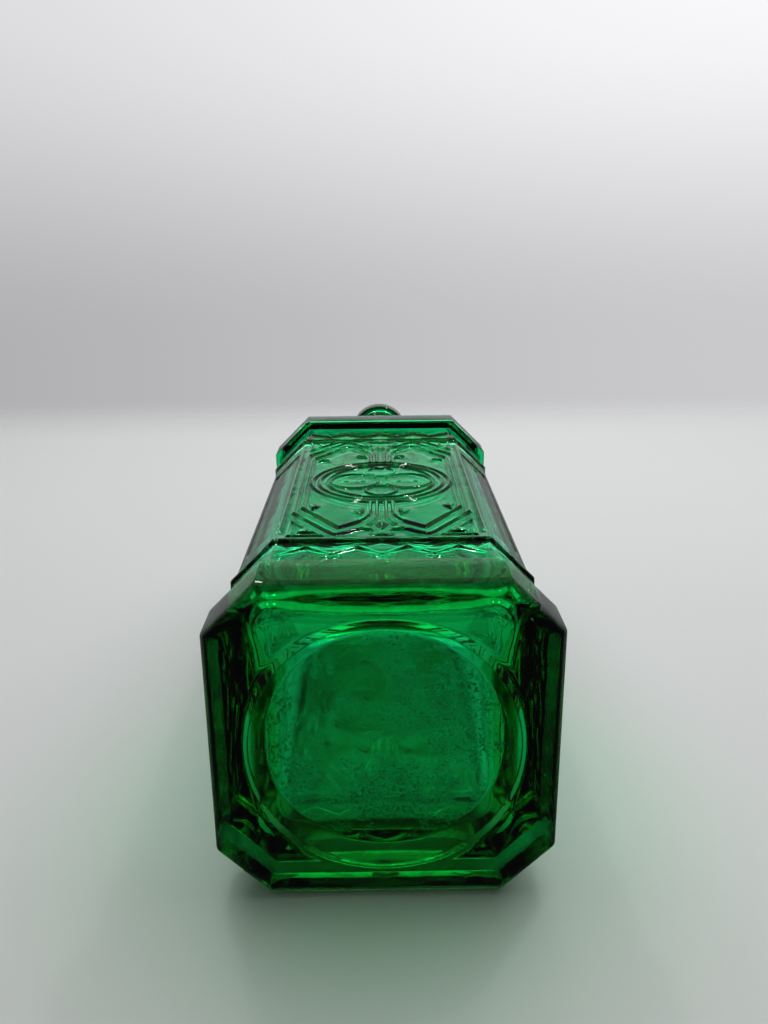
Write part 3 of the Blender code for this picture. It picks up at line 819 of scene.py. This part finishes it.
def add_shoulder_and_neck(shell):
    """From the cap's upper edge to the middle of the mouth's rim."""
    cap_face = HALF_WIDTH - CAP_EDGE_RADIUS
    rings = [outline(cap_face, edge_at(CAP_EDGE_RADIUS), EDGE_ROUNDING, 0.0, BODY_HEIGHT)]
    start, edge = HALF_WIDTH - SHOULDER_LEDGE, edge_at(SHOULDER_LEDGE)
    shares = np.linspace(0.0, 1.0, SHOULDER_STEPS)
    rings += shoulder_rings(start, edge, EDGE_ROUNDING, NECK_ROOT_RADIUS, BODY_HEIGHT, shares, 1.0)
    rings += neck_rings(SHOULDER_TOP, LIP_BOTTOM, NECK_ROOT_RADIUS, NECK_TOP_RADIUS, 1.0)
    corners = (
        (NECK_TOP_RADIUS, LIP_BOTTOM - LIP_ROUNDING),
        (NECK_TOP_RADIUS, LIP_BOTTOM),
        (LIP_RADIUS, LIP_BOTTOM + LIP_RADIUS - NECK_TOP_RADIUS),
        (LIP_RADIUS, MOUTH_TOP),
        (BORE_RADIUS + MOUTH_ROUNDING, MOUTH_TOP),
    )
    lip = rounded_line(corners, LIP_ROUNDING, LIP_STEPS)
    shell.add_rings(rings + turned_rings(lip), NECK_SWAY)


def inner_ring(face, height, bow=0.0):
    """One ring of the inside, its corners cut in proportion to its width."""
    edge = (INNER_HALF - INNER_CUT) * face / INNER_HALF
    return outline(face, edge, INNER_CORNER_ROUNDING, 0.0, height, bow=bow)


def add_inside(shell):
    """From the mouth's rim down the bore, under the shoulder and down to the floor."""
    rings = []
    for turn in np.linspace(0.0, pi / 2, FILLET_STEPS + 1):
        radius = BORE_RADIUS + MOUTH_ROUNDING * (1 - sin(turn))
        rings.append(circle(radius, MOUTH_TOP - MOUTH_ROUNDING * (1 - cos(turn))))
    for height in spaced(MOUTH_TOP - MOUTH_ROUNDING, LIP_BOTTOM, RING_SPACING_WIDE)[1:]:
        rings.append(circle(BORE_RADIUS, height))
    shell.add_rings(rings, RIM_SWAY)
    rings = rings[-1:]
    inner_root = NECK_ROOT_RADIUS - NECK_WALL
    inner_shoulder = BODY_HEIGHT - INNER_SHOULDER_DROP
    rings += neck_rings(LIP_BOTTOM, inner_shoulder + SHOULDER_HEIGHT, BORE_RADIUS, inner_root)
    edge = INNER_HALF - INNER_CUT
    shares = np.linspace(1.0, 0.0, INNER_SHOULDER_STEPS)
    rings += shoulder_rings(INNER_HALF, edge, INNER_CORNER_ROUNDING, inner_root, inner_shoulder, shares)
    bow_top = FLOOR_LEVEL + FLOOR_CORNER_RADIUS + BOW_HEIGHT
    for height in spaced(inner_shoulder, bow_top, RING_SPACING_WIDE)[1:-1]:
        rings.append(inner_ring(INNER_HALF, height))
    for share in np.linspace(0.0, 1.0, 2 * HEEL_STEPS)[:-1]:
        face = INNER_HALF - FLOOR_NARROWING * ease(share)
        rings.append(inner_ring(face, bow_top - BOW_HEIGHT * share, bow=ease(share)))
    for turn in np.linspace(0.0, pi / 2, 2 * HEEL_STEPS):
        face = INNER_HALF - FLOOR_NARROWING - FLOOR_CORNER_RADIUS * (1 - cos(turn))
        height = FLOOR_LEVEL + FLOOR_CORNER_RADIUS * (1 - sin(turn))
        rings.append(inner_ring(face, height, bow=1.0))
    flat = rings[-1]
    for share in spaced(1.0, FLOOR_CENTRE_SHARE, RING_SPACING_WIDE / INNER_HALF)[1:]:
        rings.append(flat * np.array([share, share, 1.0]))
    shell.add_rings(rings, INNER_SWAY)
    shell.close(rings[-1], FLOOR_LEVEL, True, INNER_SWAY)


def merged(mesh):
    """The mesh with points that share a place made one, and its faces turned outwards."""
    work = bmesh.new()
    work.from_mesh(mesh)
    bmesh.ops.remove_doubles(work, verts=work.verts, dist=MERGE_GAP)
    bmesh.ops.recalc_face_normals(work, faces=work.faces)
    work.to_mesh(mesh)
    work.free()
    mesh.shade_smooth()
    return mesh


def linked(name, data):
    """A new object in the scene."""
    made = bpy.data.objects.new(name, data)
    bpy.context.scene.collection.objects.link(made)
    return made


def plug(made, inputs):
    """Sets a node's inputs; each is a value or another node's output."""
    for key, value in inputs.items():
        if isinstance(value, bpy.types.NodeSocket):
            made.id_data.links.new(value, made.inputs[key])
        else:
            made.inputs[key].default_value = value


def node(tree, kind, inputs=None, **settings):
    """A node with its settings and inputs."""
    made = tree.nodes.new(kind)
    for key, value in settings.items():
        setattr(made, key, value)
    plug(made, inputs or {})
    return made


def outlet(kind, inputs, output=0, **settings):
    """The output of a new node, which goes into the tree of the outputs that it's given."""
    tree = next(value.id_data for value in inputs.values() if isinstance(value, bpy.types.NodeSocket))
    return node(tree, kind, inputs, **settings).outputs[output]


def ramp(value, start, end, low=0.0, high=1.0):
    """A smooth step of a value, from low to high."""
    inputs = {"Value": value, "From Min": start, "From Max": end, "To Min": low, "To Max": high}
    return outlet("ShaderNodeMapRange", inputs, interpolation_type="SMOOTHSTEP")


def maths(operation, *values):
    return outlet("ShaderNodeMath", dict(enumerate(values)), operation=operation)


def chain(operation, value, *others):
    """Values joined by one operation after another."""
    for other in others:
        value = maths(operation, value, other)
    return value


def product(*values):
    return chain("MULTIPLY", *values)


def axes(place):
    return node(place.id_data, "ShaderNodeSeparateXYZ", {0: place}).outputs


def length(vector):
    return outlet("ShaderNodeVectorMath", {0: vector}, "Value", operation="LENGTH")


def noise(size, inputs, **settings):
    """Noise with a grain of this size."""
    return outlet("ShaderNodeTexNoise", {"Scale": maths("DIVIDE", 1.0, size), **inputs}, **settings)


def new_tree(kind, name, entry, values, more, result):
    """A node group's outlets and its end; sockets are (name, kind), and values plain numbers."""
    tree = bpy.data.node_groups.new(name, kind)
    for label, socket_kind in (entry, *((label, "Float") for label in values), *more):
        socket = tree.interface.new_socket(label, in_out="INPUT", socket_type="NodeSocket" + socket_kind)
        if label in values:
            socket.default_value = values[label]
    tree.interface.new_socket(result[0], in_out="OUTPUT", socket_type="NodeSocket" + result[1])
    return node(tree, "NodeGroupInput").outputs, node(tree, "NodeGroupOutput")


def moving_tree(name, values):
    """The start of a tree that moves a surface, with the place of the surface's points."""
    surface = ("Geometry", "Geometry")
    given, end = new_tree("GeometryNodeTree", name, surface, values, [("Finish", "Material")], surface)
    return given, end, node(end.id_data, "GeometryNodeInputPosition").outputs[0]


def finish_moved(given, end, *factors):
    """The end of a tree that moves a surface along its normals and gives it a finish."""
    amount = product(*factors, -1.0)
    normal = node(end.id_data, "GeometryNodeInputNormal").outputs[0]
    offset = outlet("ShaderNodeVectorMath", {0: normal, "Scale": amount}, operation="SCALE")
    moved = outlet("GeometryNodeSetPosition", {"Geometry": given["Geometry"], "Offset": offset})
    real = outlet("GeometryNodeRealizeInstances", {"Geometry": moved})
    finish = outlet("GeometryNodeSetMaterial", {"Geometry": real, "Material": given["Finish"]})
    plug(end, {"Geometry": finish})
    return end.id_data


def flow_tree():
    """Moves a surface into the glass in slow waves, as far as its points' sway says."""
    values = {"Wave Length": 0.022, "Wave Depth": 0.0001, "Seed": 3.0}
    given, end, place = moving_tree("glass_flow", values)
    inputs = {"Vector": place, "W": given["Seed"], "Detail": 1.5, "Roughness": 0.35}
    waves = noise(given["Wave Length"], inputs, noise_dimensions="4D")
    sway = node(end.id_data, "GeometryNodeInputNamedAttribute", {"Name": "sway"}, data_type="FLOAT")
    return finish_moved(given, end, waves, given["Wave Depth"], sway.outputs[0])


def pore_tree():
    """Sinks small pores into cork."""
    values = {"Pore Size": 0.0016, "Pore Depth": 0.0003, "Seed": 5.0}
    given, end, place = moving_tree("cork_pores", values)
    inputs = {"Vector": place, "W": given["Seed"], "Detail": 2.0}
    pitted = noise(given["Pore Size"], inputs, noise_dimensions="4D")
    return finish_moved(given, end, ramp(pitted, 0.56, 0.70), given["Pore Depth"])


def turning_tree():
    """Faint rings that a turning tool leaves, cut into the surface."""
    values = {"Mark Pitch": 0.0012, "Mark Depth": 0.00003, "Seed": 2.0}
    given, end, place = moving_tree("turning_marks", values)
    inputs = {"W": maths("ADD", axes(place)[2], given["Seed"]), "Detail": 1.0}
    rings = noise(given["Mark Pitch"], inputs, noise_dimensions="1D")
    return finish_moved(given, end, rings, given["Mark Depth"])


def value_tree(name, values):
    return new_tree("ShaderNodeTree", name, ("Vector", "Vector"), values, [], ("Value", "Float"))


def mottle_tree():
    """Soft blotches between two values."""
    values = {"Size": 0.01, "Detail": 2.0, "Start": 0.35, "End": 0.65}
    given, end = value_tree("soft mottle", values)
    blotches = noise(given["Size"], {"Vector": given["Vector"], "Detail": given["Detail"]})
    plug(end, {"Value": ramp(blotches, given["Start"], given["End"])})
    return end.id_data


def stipple_tree():
    """Fine pits that gather in patches."""
    values = {"Grain": 0.0008, "Patch": 0.012, "Start": 0.45, "End": 0.56}
    given, end = value_tree("patchy stipple", values)
    grain = noise(given["Grain"], {"Vector": given["Vector"], "Detail": 2.0, "Roughness": 0.6})
    patch = noise(given["Patch"], {"Vector": given["Vector"], "Detail": 4.0, "Roughness": 0.6})
    gathered = ramp(patch, given["Start"], given["End"])
    plug(end, {"Value": product(ramp(grain, 0.50, 0.66), gathered)})
    return end.id_data


def group(shared, place, **values):
    """A shared node group, placed in a material."""
    return outlet("ShaderNodeGroup", {"Vector": place, **values}, node_tree=shared)


def mixed(share, low, high):
    """A colour between two; a Mix node has its colours at 6 and 7, and the result at 2."""
    return outlet("ShaderNodeMix", {0: share, 6: low, 7: high}, 2, data_type="RGBA")


def bump(height, distance, strength, normal=None):
    inputs = {"Height": height, "Distance": distance, "Strength": strength}
    return outlet("ShaderNodeBump", inputs if normal is None else {**inputs, "Normal": normal})


def colour(red, green, blue):
    return red, green, blue, 1.0


def new_material(name):
    """A material with its shader and the place on the piece."""
    material = bpy.data.materials.new(name)
    material.use_nodes = True
    tree = material.node_tree
    place = node(tree, "ShaderNodeTexCoord").outputs["Object"]
    return material, tree.nodes["Principled BSDF"], place


def dress(shader, tint, rough, normal):
    plug(shader, {"Base Color": tint, "Roughness": rough, "Normal": normal})


def glass_places(place):
    """Masks of the disc in the base's hollow, the slope round it, and the heel and margin that carry painted
    shade.
    """
    x, y, z = axes(place)
    radius = length(outlet("ShaderNodeCombineXYZ", {0: x, 1: y}))
    inner = RECESS_RADIUS - RECESS_SLOPE
    in_disc = ramp(radius, inner - STEP_ROUNDING, inner, 1.0, 0.0)
    low = ramp(z, FLOOR_LEVEL / 2, FLOOR_LEVEL / 2 + STEP_ROUNDING, 1.0, 0.0)
    outside = ramp(radius, RECESS_RADIUS, RECESS_RADIUS + STEP_ROUNDING)
    hollow = product(maths("SUBTRACT", 1.0, outside), low)
    slope = product(hollow, maths("SUBTRACT", 1.0, in_disc))
    side_x, side_y = (maths("ABSOLUTE", side) for side in (x, y))
    corner = maths("ADD", side_x, side_y)
    corner = maths("MULTIPLY_ADD", corner, sqrt(0.5), HALF_WIDTH - CUT_DISTANCE)
    reach = chain("MAXIMUM", side_x, side_y, corner)
    rim = HALF_WIDTH - STANDING_RIM
    margin = ramp(reach, rim - SHADE_FADE_IN, rim + SHADE_FADE_OUT)
    under_heel = ramp(z, HEEL_RADIUS * SHADE_FULL_SHARE, HEEL_RADIUS * SHADE_END_SHARE, 1.0, 0.0)
    return product(in_disc, low), slope, product(margin, under_heel)


def glass_finish(mottle, stipple):
    """Clear green glass: faintly wavy, darkened at the heel and margin by painted shade, mottled and pitted
    in the base's hollow.
    """
    material, shader, place = new_material("green glass")
    shader.inputs["Metallic"].default_value = 0.0
    shader.inputs["Transmission Weight"].default_value = 1.0
    shader.inputs["IOR"].default_value = GLASS_IOR
    disc, slope, heel = glass_places(place)
    tone = group(mottle, place, Size=0.021)
    plain = mixed(tone, colour(0.93, 1.0, 0.95), colour(1.0, 1.0, 1.0))
    pits = group(stipple, place)
    pitted = mixed(pits, colour(0.42, 1.0, 0.74), colour(0.01, 0.12, 0.07))
    # Painted shade: the heel and margin take a mottled dark grey-green tint
    heel_shade_mottle = group(mottle, place, Size=0.0035, Detail=3.0, Start=0.25, End=0.55)
    heel_shade_tint = mixed(heel_shade_mottle, colour(0.30, 0.40, 0.32), colour(0.13, 0.19, 0.14))
    tint = mixed(disc, mixed(heel, plain, heel_shade_tint), pitted)
    smear = group(mottle, place, Size=0.006, Detail=3.0)
    cloud = group(mottle, place, Size=0.013, Detail=4.0, Start=0.42, End=0.62)
    rough = chain(
        "ADD",
        maths("MULTIPLY_ADD", smear, 0.025, 0.012),
        product(disc, maths("MULTIPLY_ADD", cloud, 0.05, 0.06)),
        product(slope, 0.16),
        product(heel, 0.03),
    )
    ripple = group(mottle, place, Size=0.011, Start=0.2, End=0.8)
    normal = bump(ripple, 0.0001, 0.6)
    skin = outlet("ShaderNodeTexNoise", {"Vector": place, "Scale": 700.0, "Detail": 1.0})
    normal = bump(skin, 0.00001, 0.5, normal)
    normal = bump(product(pits, disc), 0.0002, 1.0, normal)
    dress(shader, tint, rough, normal)
    tree = material.node_tree
    absorption = node(tree, "ShaderNodeVolumeAbsorption", {"Color": GLASS_COLOUR, "Density": GLASS_DENSITY})
    plug(tree.nodes["Material Output"], {"Volume": absorption.outputs[0]})
    return material


def cork_finish(mottle, stipple):
    """Natural cork: warm tan, blotched, with dark pores that lie across it."""
    material, shader, place = new_material("natural cork")
    shader.inputs["Specular IOR Level"].default_value = 0.25
    tone = group(mottle, place, Size=0.0045, Detail=5.0)
    fleck = group(mottle, place, Size=0.0011, Detail=3.0, Start=0.52, End=0.62)
    squashed = outlet("ShaderNodeMapping", {"Vector": place, "Scale": (1.0, 1.0, 2.6)})
    pores = group(stipple, squashed, Grain=0.0013, Patch=0.006, Start=0.42, End=0.56)
    tint = mixed(tone, colour(0.50, 0.31, 0.17), colour(0.68, 0.47, 0.29))
    tint = mixed(product(fleck, 0.5), tint, colour(0.42, 0.24, 0.12))
    tint = mixed(pores, tint, colour(0.13, 0.065, 0.03))
    rough = maths("MULTIPLY_ADD", tone, 0.12, 0.78)
    normal = bump(fleck, 0.0001, 0.6)
    normal = bump(product(pores, -1.0), 0.0004, 1.0, normal)
    dress(shader, tint, rough, normal)
    return material


def wood_finish(mottle):
    """Stained turned wood: growth rings, fine dark pores along the grain, and a satin surface."""
    material, shader, place = new_material("stained turned wood")
    shader.inputs["Coat Weight"].default_value = 0.15
    shader.inputs["Coat Roughness"].default_value = 0.3
    grain_axes = outlet("ShaderNodeMapping", {"Vector": place, "Rotation": (0.0, 1.3, 0.35)})
    rings = outlet(
        "ShaderNodeTexWave",
        {"Vector": grain_axes, "Scale": 95.0, "Distortion": 3.5, "Detail": 2.5, "Detail Scale": 0.6},
        "Fac",
        wave_type="RINGS",
        rings_direction="Z",
        wave_profile="SAW",
    )
    along = outlet("ShaderNodeMapping", {"Vector": grain_axes, "Scale": (1.0, 1.0, 0.07)})
    pores = group(mottle, along, Size=0.0004, Detail=2.0, Start=0.58, End=0.68)
    tone = group(mottle, place, Size=0.007)
    tint = mixed(rings, colour(0.33, 0.185, 0.095), colour(0.20, 0.10, 0.05))
    tint = mixed(product(tone, 0.35), tint, colour(0.38, 0.23, 0.13))
    tint = mixed(pores, tint, colour(0.09, 0.045, 0.022))
    rough = maths("MULTIPLY_ADD", rings, 0.1, 0.36)
    normal = bump(product(pores, -1.0), 0.00006, 0.7)
    dress(shader, tint, rough, normal)
    return material


def shaped(name, mesh, tree, finish):
    """An object whose plain mesh is what a Geometry Nodes tree makes of the one given."""
    piece = linked(name, mesh)
    modifier = piece.modifiers.new("shape", "NODES")
    modifier.node_group = tree
    modifier[tree.interface.items_tree["Finish"].identifier] = finish
    bpy.context.view_layer.update()
    graph = bpy.context.evaluated_depsgraph_get()
    made = bpy.data.meshes.new_from_object(piece.evaluated_get(graph), depsgraph=graph)
    made.name = name
    piece.modifiers.clear()
    piece.data = made
    return piece


def turned_mesh(name, profile, spacing):
    """A closed turned solid from radii and heights, from its lowest point up its outside."""
    rings = []
    points = []
    faces = []
    for point in divided([Vector(place) for place in profile], spacing):
        steps = TURNED_STEPS if point.x >= MERGE_GAP else 1
        rings.append(range(len(points), len(points) + steps))
        radius = point.x if steps > 1 else 0.0
        for step in range(steps):
            turn = 2 * pi * step / TURNED_STEPS
            points.append((radius * cos(turn), radius * sin(turn), point.y))
    for low, high in zip(rings, rings[1:]):
        for step in range(TURNED_STEPS):
            corners = []
            for ring, index in ((low, step), (low, step + 1), (high, step + 1), (high, step)):
                corner = ring[index % len(ring)]
                if corner not in corners:
                    corners.append(corner)
            if len(corners) > 2:
                faces.append(corners)
    mesh = bpy.data.meshes.new(name)
    mesh.from_pydata(points, [], faces)
    mesh.shade_smooth()
    return mesh


def cork_piece(finish):
    """The cork: a slightly tapered cylinder, its edges worn round, with a hole for the grip's peg."""
    radius = BORE_RADIUS - CORK_CLEARANCE
    foot = MOUTH_TOP - CORK_LENGTH
    hole = PEG_RADIUS + GLUE_GAP
    hole_end = MOUTH_TOP - PEG_LENGTH - GLUE_GAP + SEAT_GAP
    side = [(radius - CORK_TAPER, foot), (radius, MOUTH_TOP - MOUTH_ROUNDING), (radius, MOUTH_TOP)]
    outside = rounded_line([(0.0, foot), *side, (hole, MOUTH_TOP)], CORK_CHAMFER, FILLET_STEPS)
    mesh = turned_mesh("cork_body", [*outside, (hole, hole_end), (0.0, hole_end)], CORK_SPACING)
    return shaped("cork_body", mesh, pore_tree(), finish)


def grip_piece(finish):
    """The turned grip: a low drum with two scribed lines and a dished top, and its peg in the cork."""
    seat = MOUTH_TOP + SEAT_GAP
    top = seat + GRIP_HEIGHT
    peg_end = seat - PEG_LENGTH
    profile = [(0.0, peg_end), (PEG_RADIUS, peg_end), (PEG_RADIUS, seat), (GRIP_FOOT_RADIUS, seat)]
    profile.append((GRIP_RADIUS, seat + GRIP_RADIUS - GRIP_FOOT_RADIUS))
    for share in SCRIBE_SHARES:
        middle = seat + GRIP_HEIGHT * share
        for side in (-1, 0, 1):
            depth = 0.0 if side else SCRIBE_DEPTH
            profile.append((GRIP_RADIUS - depth, middle + side * SCRIBE_WIDTH / 2))
    dish = GRIP_RADIUS - GRIP_ROUNDING
    centre = Vector((dish, top - GRIP_ROUNDING))
    profile += arc(centre, GRIP_ROUNDING, 0.0, pi / 2, 2 * FILLET_STEPS)
    for step in range(1, DISH_STEPS + 1):
        share = step / DISH_STEPS
        profile.append((dish * (1 - share), top - DISH_DEPTH * float(swell(share))))
    mesh = turned_mesh("grip_body", profile, GRIP_SPACING)
    return shaped("grip_body", mesh, turning_tree(), finish)


def glass_piece(finish):
    """The bottle: its ornamented sides, base, shoulder, neck and inside in one closed surface."""
    shell = Shell()
    add_sides(shell)
    add_base(shell)
    add_shoulder_and_neck(shell)
    add_inside(shell)
    piece = shaped("glass_body", merged(shell.mesh("glass_body")), flow_tree(), finish)
    piece.data.shade_smooth()
    return piece


def add_camera():
    """The photograph's view: from below the base, up along the bottle, its front face uppermost."""
    data = bpy.data.cameras.new("photo view")
    data.lens = CAMERA_LENS
    data.clip_start = CAMERA_NEAR
    camera = linked("photo view", data)
    tilt, yaw, roll = CAMERA_TILT, CAMERA_YAW, CAMERA_ROLL
    forward = Vector((sin(yaw) * cos(tilt), sin(tilt), cos(yaw) * cos(tilt)))
    level = Vector((cos(yaw), 0.0, -sin(yaw)))
    upright = level.cross(forward)
    right = level * cos(roll) + upright * sin(roll)
    up = upright * cos(roll) - level * sin(roll)
    turn = Matrix((right, up, -forward)).transposed().to_4x4()
    camera.matrix_world = Matrix.Translation(CAMERA_PLACE) @ turn
    bpy.context.scene.camera = camera


def pale_sheet(name, corners, tint):
    """A stage sheet, pale and matt, that shows only from its front, and the nodes of its finish."""
    material, shader, place = new_material(name + " white")
    plug(shader, {"Base Color": tint, "Roughness": 0.55, "Specular IOR Level": 0.2})
    tree = material.node_tree
    hidden = node(tree, "ShaderNodeNewGeometry").outputs["Backfacing"]
    clear = node(tree, "ShaderNodeBsdfTransparent").outputs[0]
    mix = node(tree, "ShaderNodeMixShader", {0: hidden, 1: shader.outputs[0], 2: clear})
    plug(tree.nodes["Material Output"], {"Surface": mix.outputs[0]})
    mesh = bpy.data.meshes.new(name)
    mesh.from_pydata(corners, [], [(0, 1, 2, 3)])
    mesh.materials.append(material)
    sheet = linked(name, mesh)
    return sheet, shader, place, mix


def add_board():
    """The board that the back face lies against, with painted green light near the bottle, fading out along
    Z.
    """
    size, back = STAGE_SIZE, HALF_WIDTH + BOARD_GAP
    corners = [(-size, back, -size), (size, back, -size), (size, back, BOARD_END), (-size, back, BOARD_END)]
    board, shader, place, mix = pale_sheet("board", corners, BOARD_COLOUR)
    # Painted light: the board's colour turns green round the foot, standing in for light that passes through
    # the glass
    offset = outlet("ShaderNodeVectorMath", {0: place, 1: PAINTED_LIGHT_CENTRE}, operation="SUBTRACT")
    painted_light = ramp(length(offset), PAINTED_LIGHT_NEAR, PAINTED_LIGHT_FAR, 1.0, 0.0)
    plug(shader, {"Base Color": mixed(painted_light, BOARD_COLOUR, PAINTED_GREEN_LIGHT)})
    fade = ramp(axes(place)[2], BOARD_FADE, BOARD_END)
    backfacing = mix.inputs[0].links[0].from_socket
    plug(mix, {0: maths("MAXIMUM", backfacing, fade)})
    board.visible_glossy = False


def add_floor():
    """The floor under the base, which only the camera sees."""
    size, under = STAGE_SIZE, -FLOOR_GAP
    corners = [(-size, -size, under), (size, -size, under), (size, size, under), (-size, size, under)]
    floor = pale_sheet("floor", corners, FLOOR_COLOUR)[0]
    floor.visible_diffuse = False
    floor.visible_glossy = False
    floor.visible_transmission = False
    floor.visible_shadow = False


def add_lamp(name, place, target, size, power, mirrored=True):
    """A soft lamp that the camera can't see; glossy rays see it only when mirrored is true."""
    data = bpy.data.lights.new(name, "AREA")
    data.shape = "RECTANGLE"
    data.size, data.size_y = size
    data.energy = power
    lamp = linked(name, data)
    aim = (Vector(target) - Vector(place)).to_track_quat("-Z", "Y")
    lamp.matrix_world = Matrix.LocRotScale(Vector(place), aim, None)
    lamp.visible_camera = False
    lamp.visible_glossy = mirrored


def add_lights():
    add_lamp("overhead softbox", (0.12, -0.60, 0.46), (0.06, 0.04, 0.30), (1.3, 1.0), 7.8, mirrored=False)
    for name, place in (("left glint", (-0.22, -0.9, 0.50)), ("right glint", (0.30, -0.8, 0.40))):
        add_lamp(name, place, GLINT_TARGET, GLINT_SIZE, GLINT_POWER)


def add_world():
    """A pale backdrop that brightens upwards, and a dimmer room for the glass to mirror."""
    world = bpy.data.worlds.new("studio")
    bpy.context.scene.world = world
    world.use_nodes = True
    tree = world.node_tree
    tree.nodes.clear()
    x, y, z = axes(node(tree, "ShaderNodeTexCoord").outputs["Generated"])
    ray = node(tree, "ShaderNodeLightPath").outputs
    height = product(y, -1.0)
    rise = ramp(height, -0.12, 0.22, 0.55, 0.90)
    slant = ramp(x, -0.7, 0.45, 0.76, 1.09)
    ceiling = ramp(height, 0.26, 0.42, 1.0, 0.28)
    overhead = maths("MAXIMUM", ceiling, ray["Is Camera Ray"])
    backdrop = product(rise, slant, overhead)
    ahead = ramp(z, -0.2, 0.35)
    above = ramp(height, 0.20, 0.34, 1.0, 0.32)
    below = ramp(height, -0.12, 0.06, 0.50, 1.0)
    under = ramp(height, -0.62, -0.30, 0.05, 1.0)
    room = product(above, below, product(under, ROOM_STRENGTH))
    mirrored = maths("ADD", product(ahead, room), ROOM_LEAST)
    shown, glint, light = (
        node(tree, "ShaderNodeBackground", {"Color": tint, "Strength": strength}).outputs[0]
        for tint, strength in ((BACKDROP_TINT, backdrop), (ROOM_TINT, mirrored), (LIGHT_TINT, LIGHT_STRENGTH))
    )
    seen = maths("MAXIMUM", ray["Is Camera Ray"], ray["Is Transmission Ray"])
    mix = outlet("ShaderNodeMixShader", {0: ray["Is Glossy Ray"], 1: light, 2: glint})
    mix = outlet("ShaderNodeMixShader", {0: seen, 1: mix, 2: shown})
    node(tree, "ShaderNodeOutputWorld", {"Surface": mix})


def main():
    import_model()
    bpy.context.scene.view_settings.view_transform = "Standard"

    mottle = mottle_tree()
    stipple = stipple_tree()
    pieces = (
        (glass_piece(glass_finish(mottle, stipple)), "bottle", "glass_bottle", "green_glass"),
        (cork_piece(cork_finish(mottle, stipple)), "stopper", "cork_shank", "cork"),
        (grip_piece(wood_finish(mottle)), "stopper", "stopper_grip", "turned_wood"),
    )
    for piece, body, replaced, slot in pieces:
        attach(piece, body)
        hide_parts(replaced)

    add_camera()
    add_board()
    add_floor()
    add_lights()
    add_world()


main()
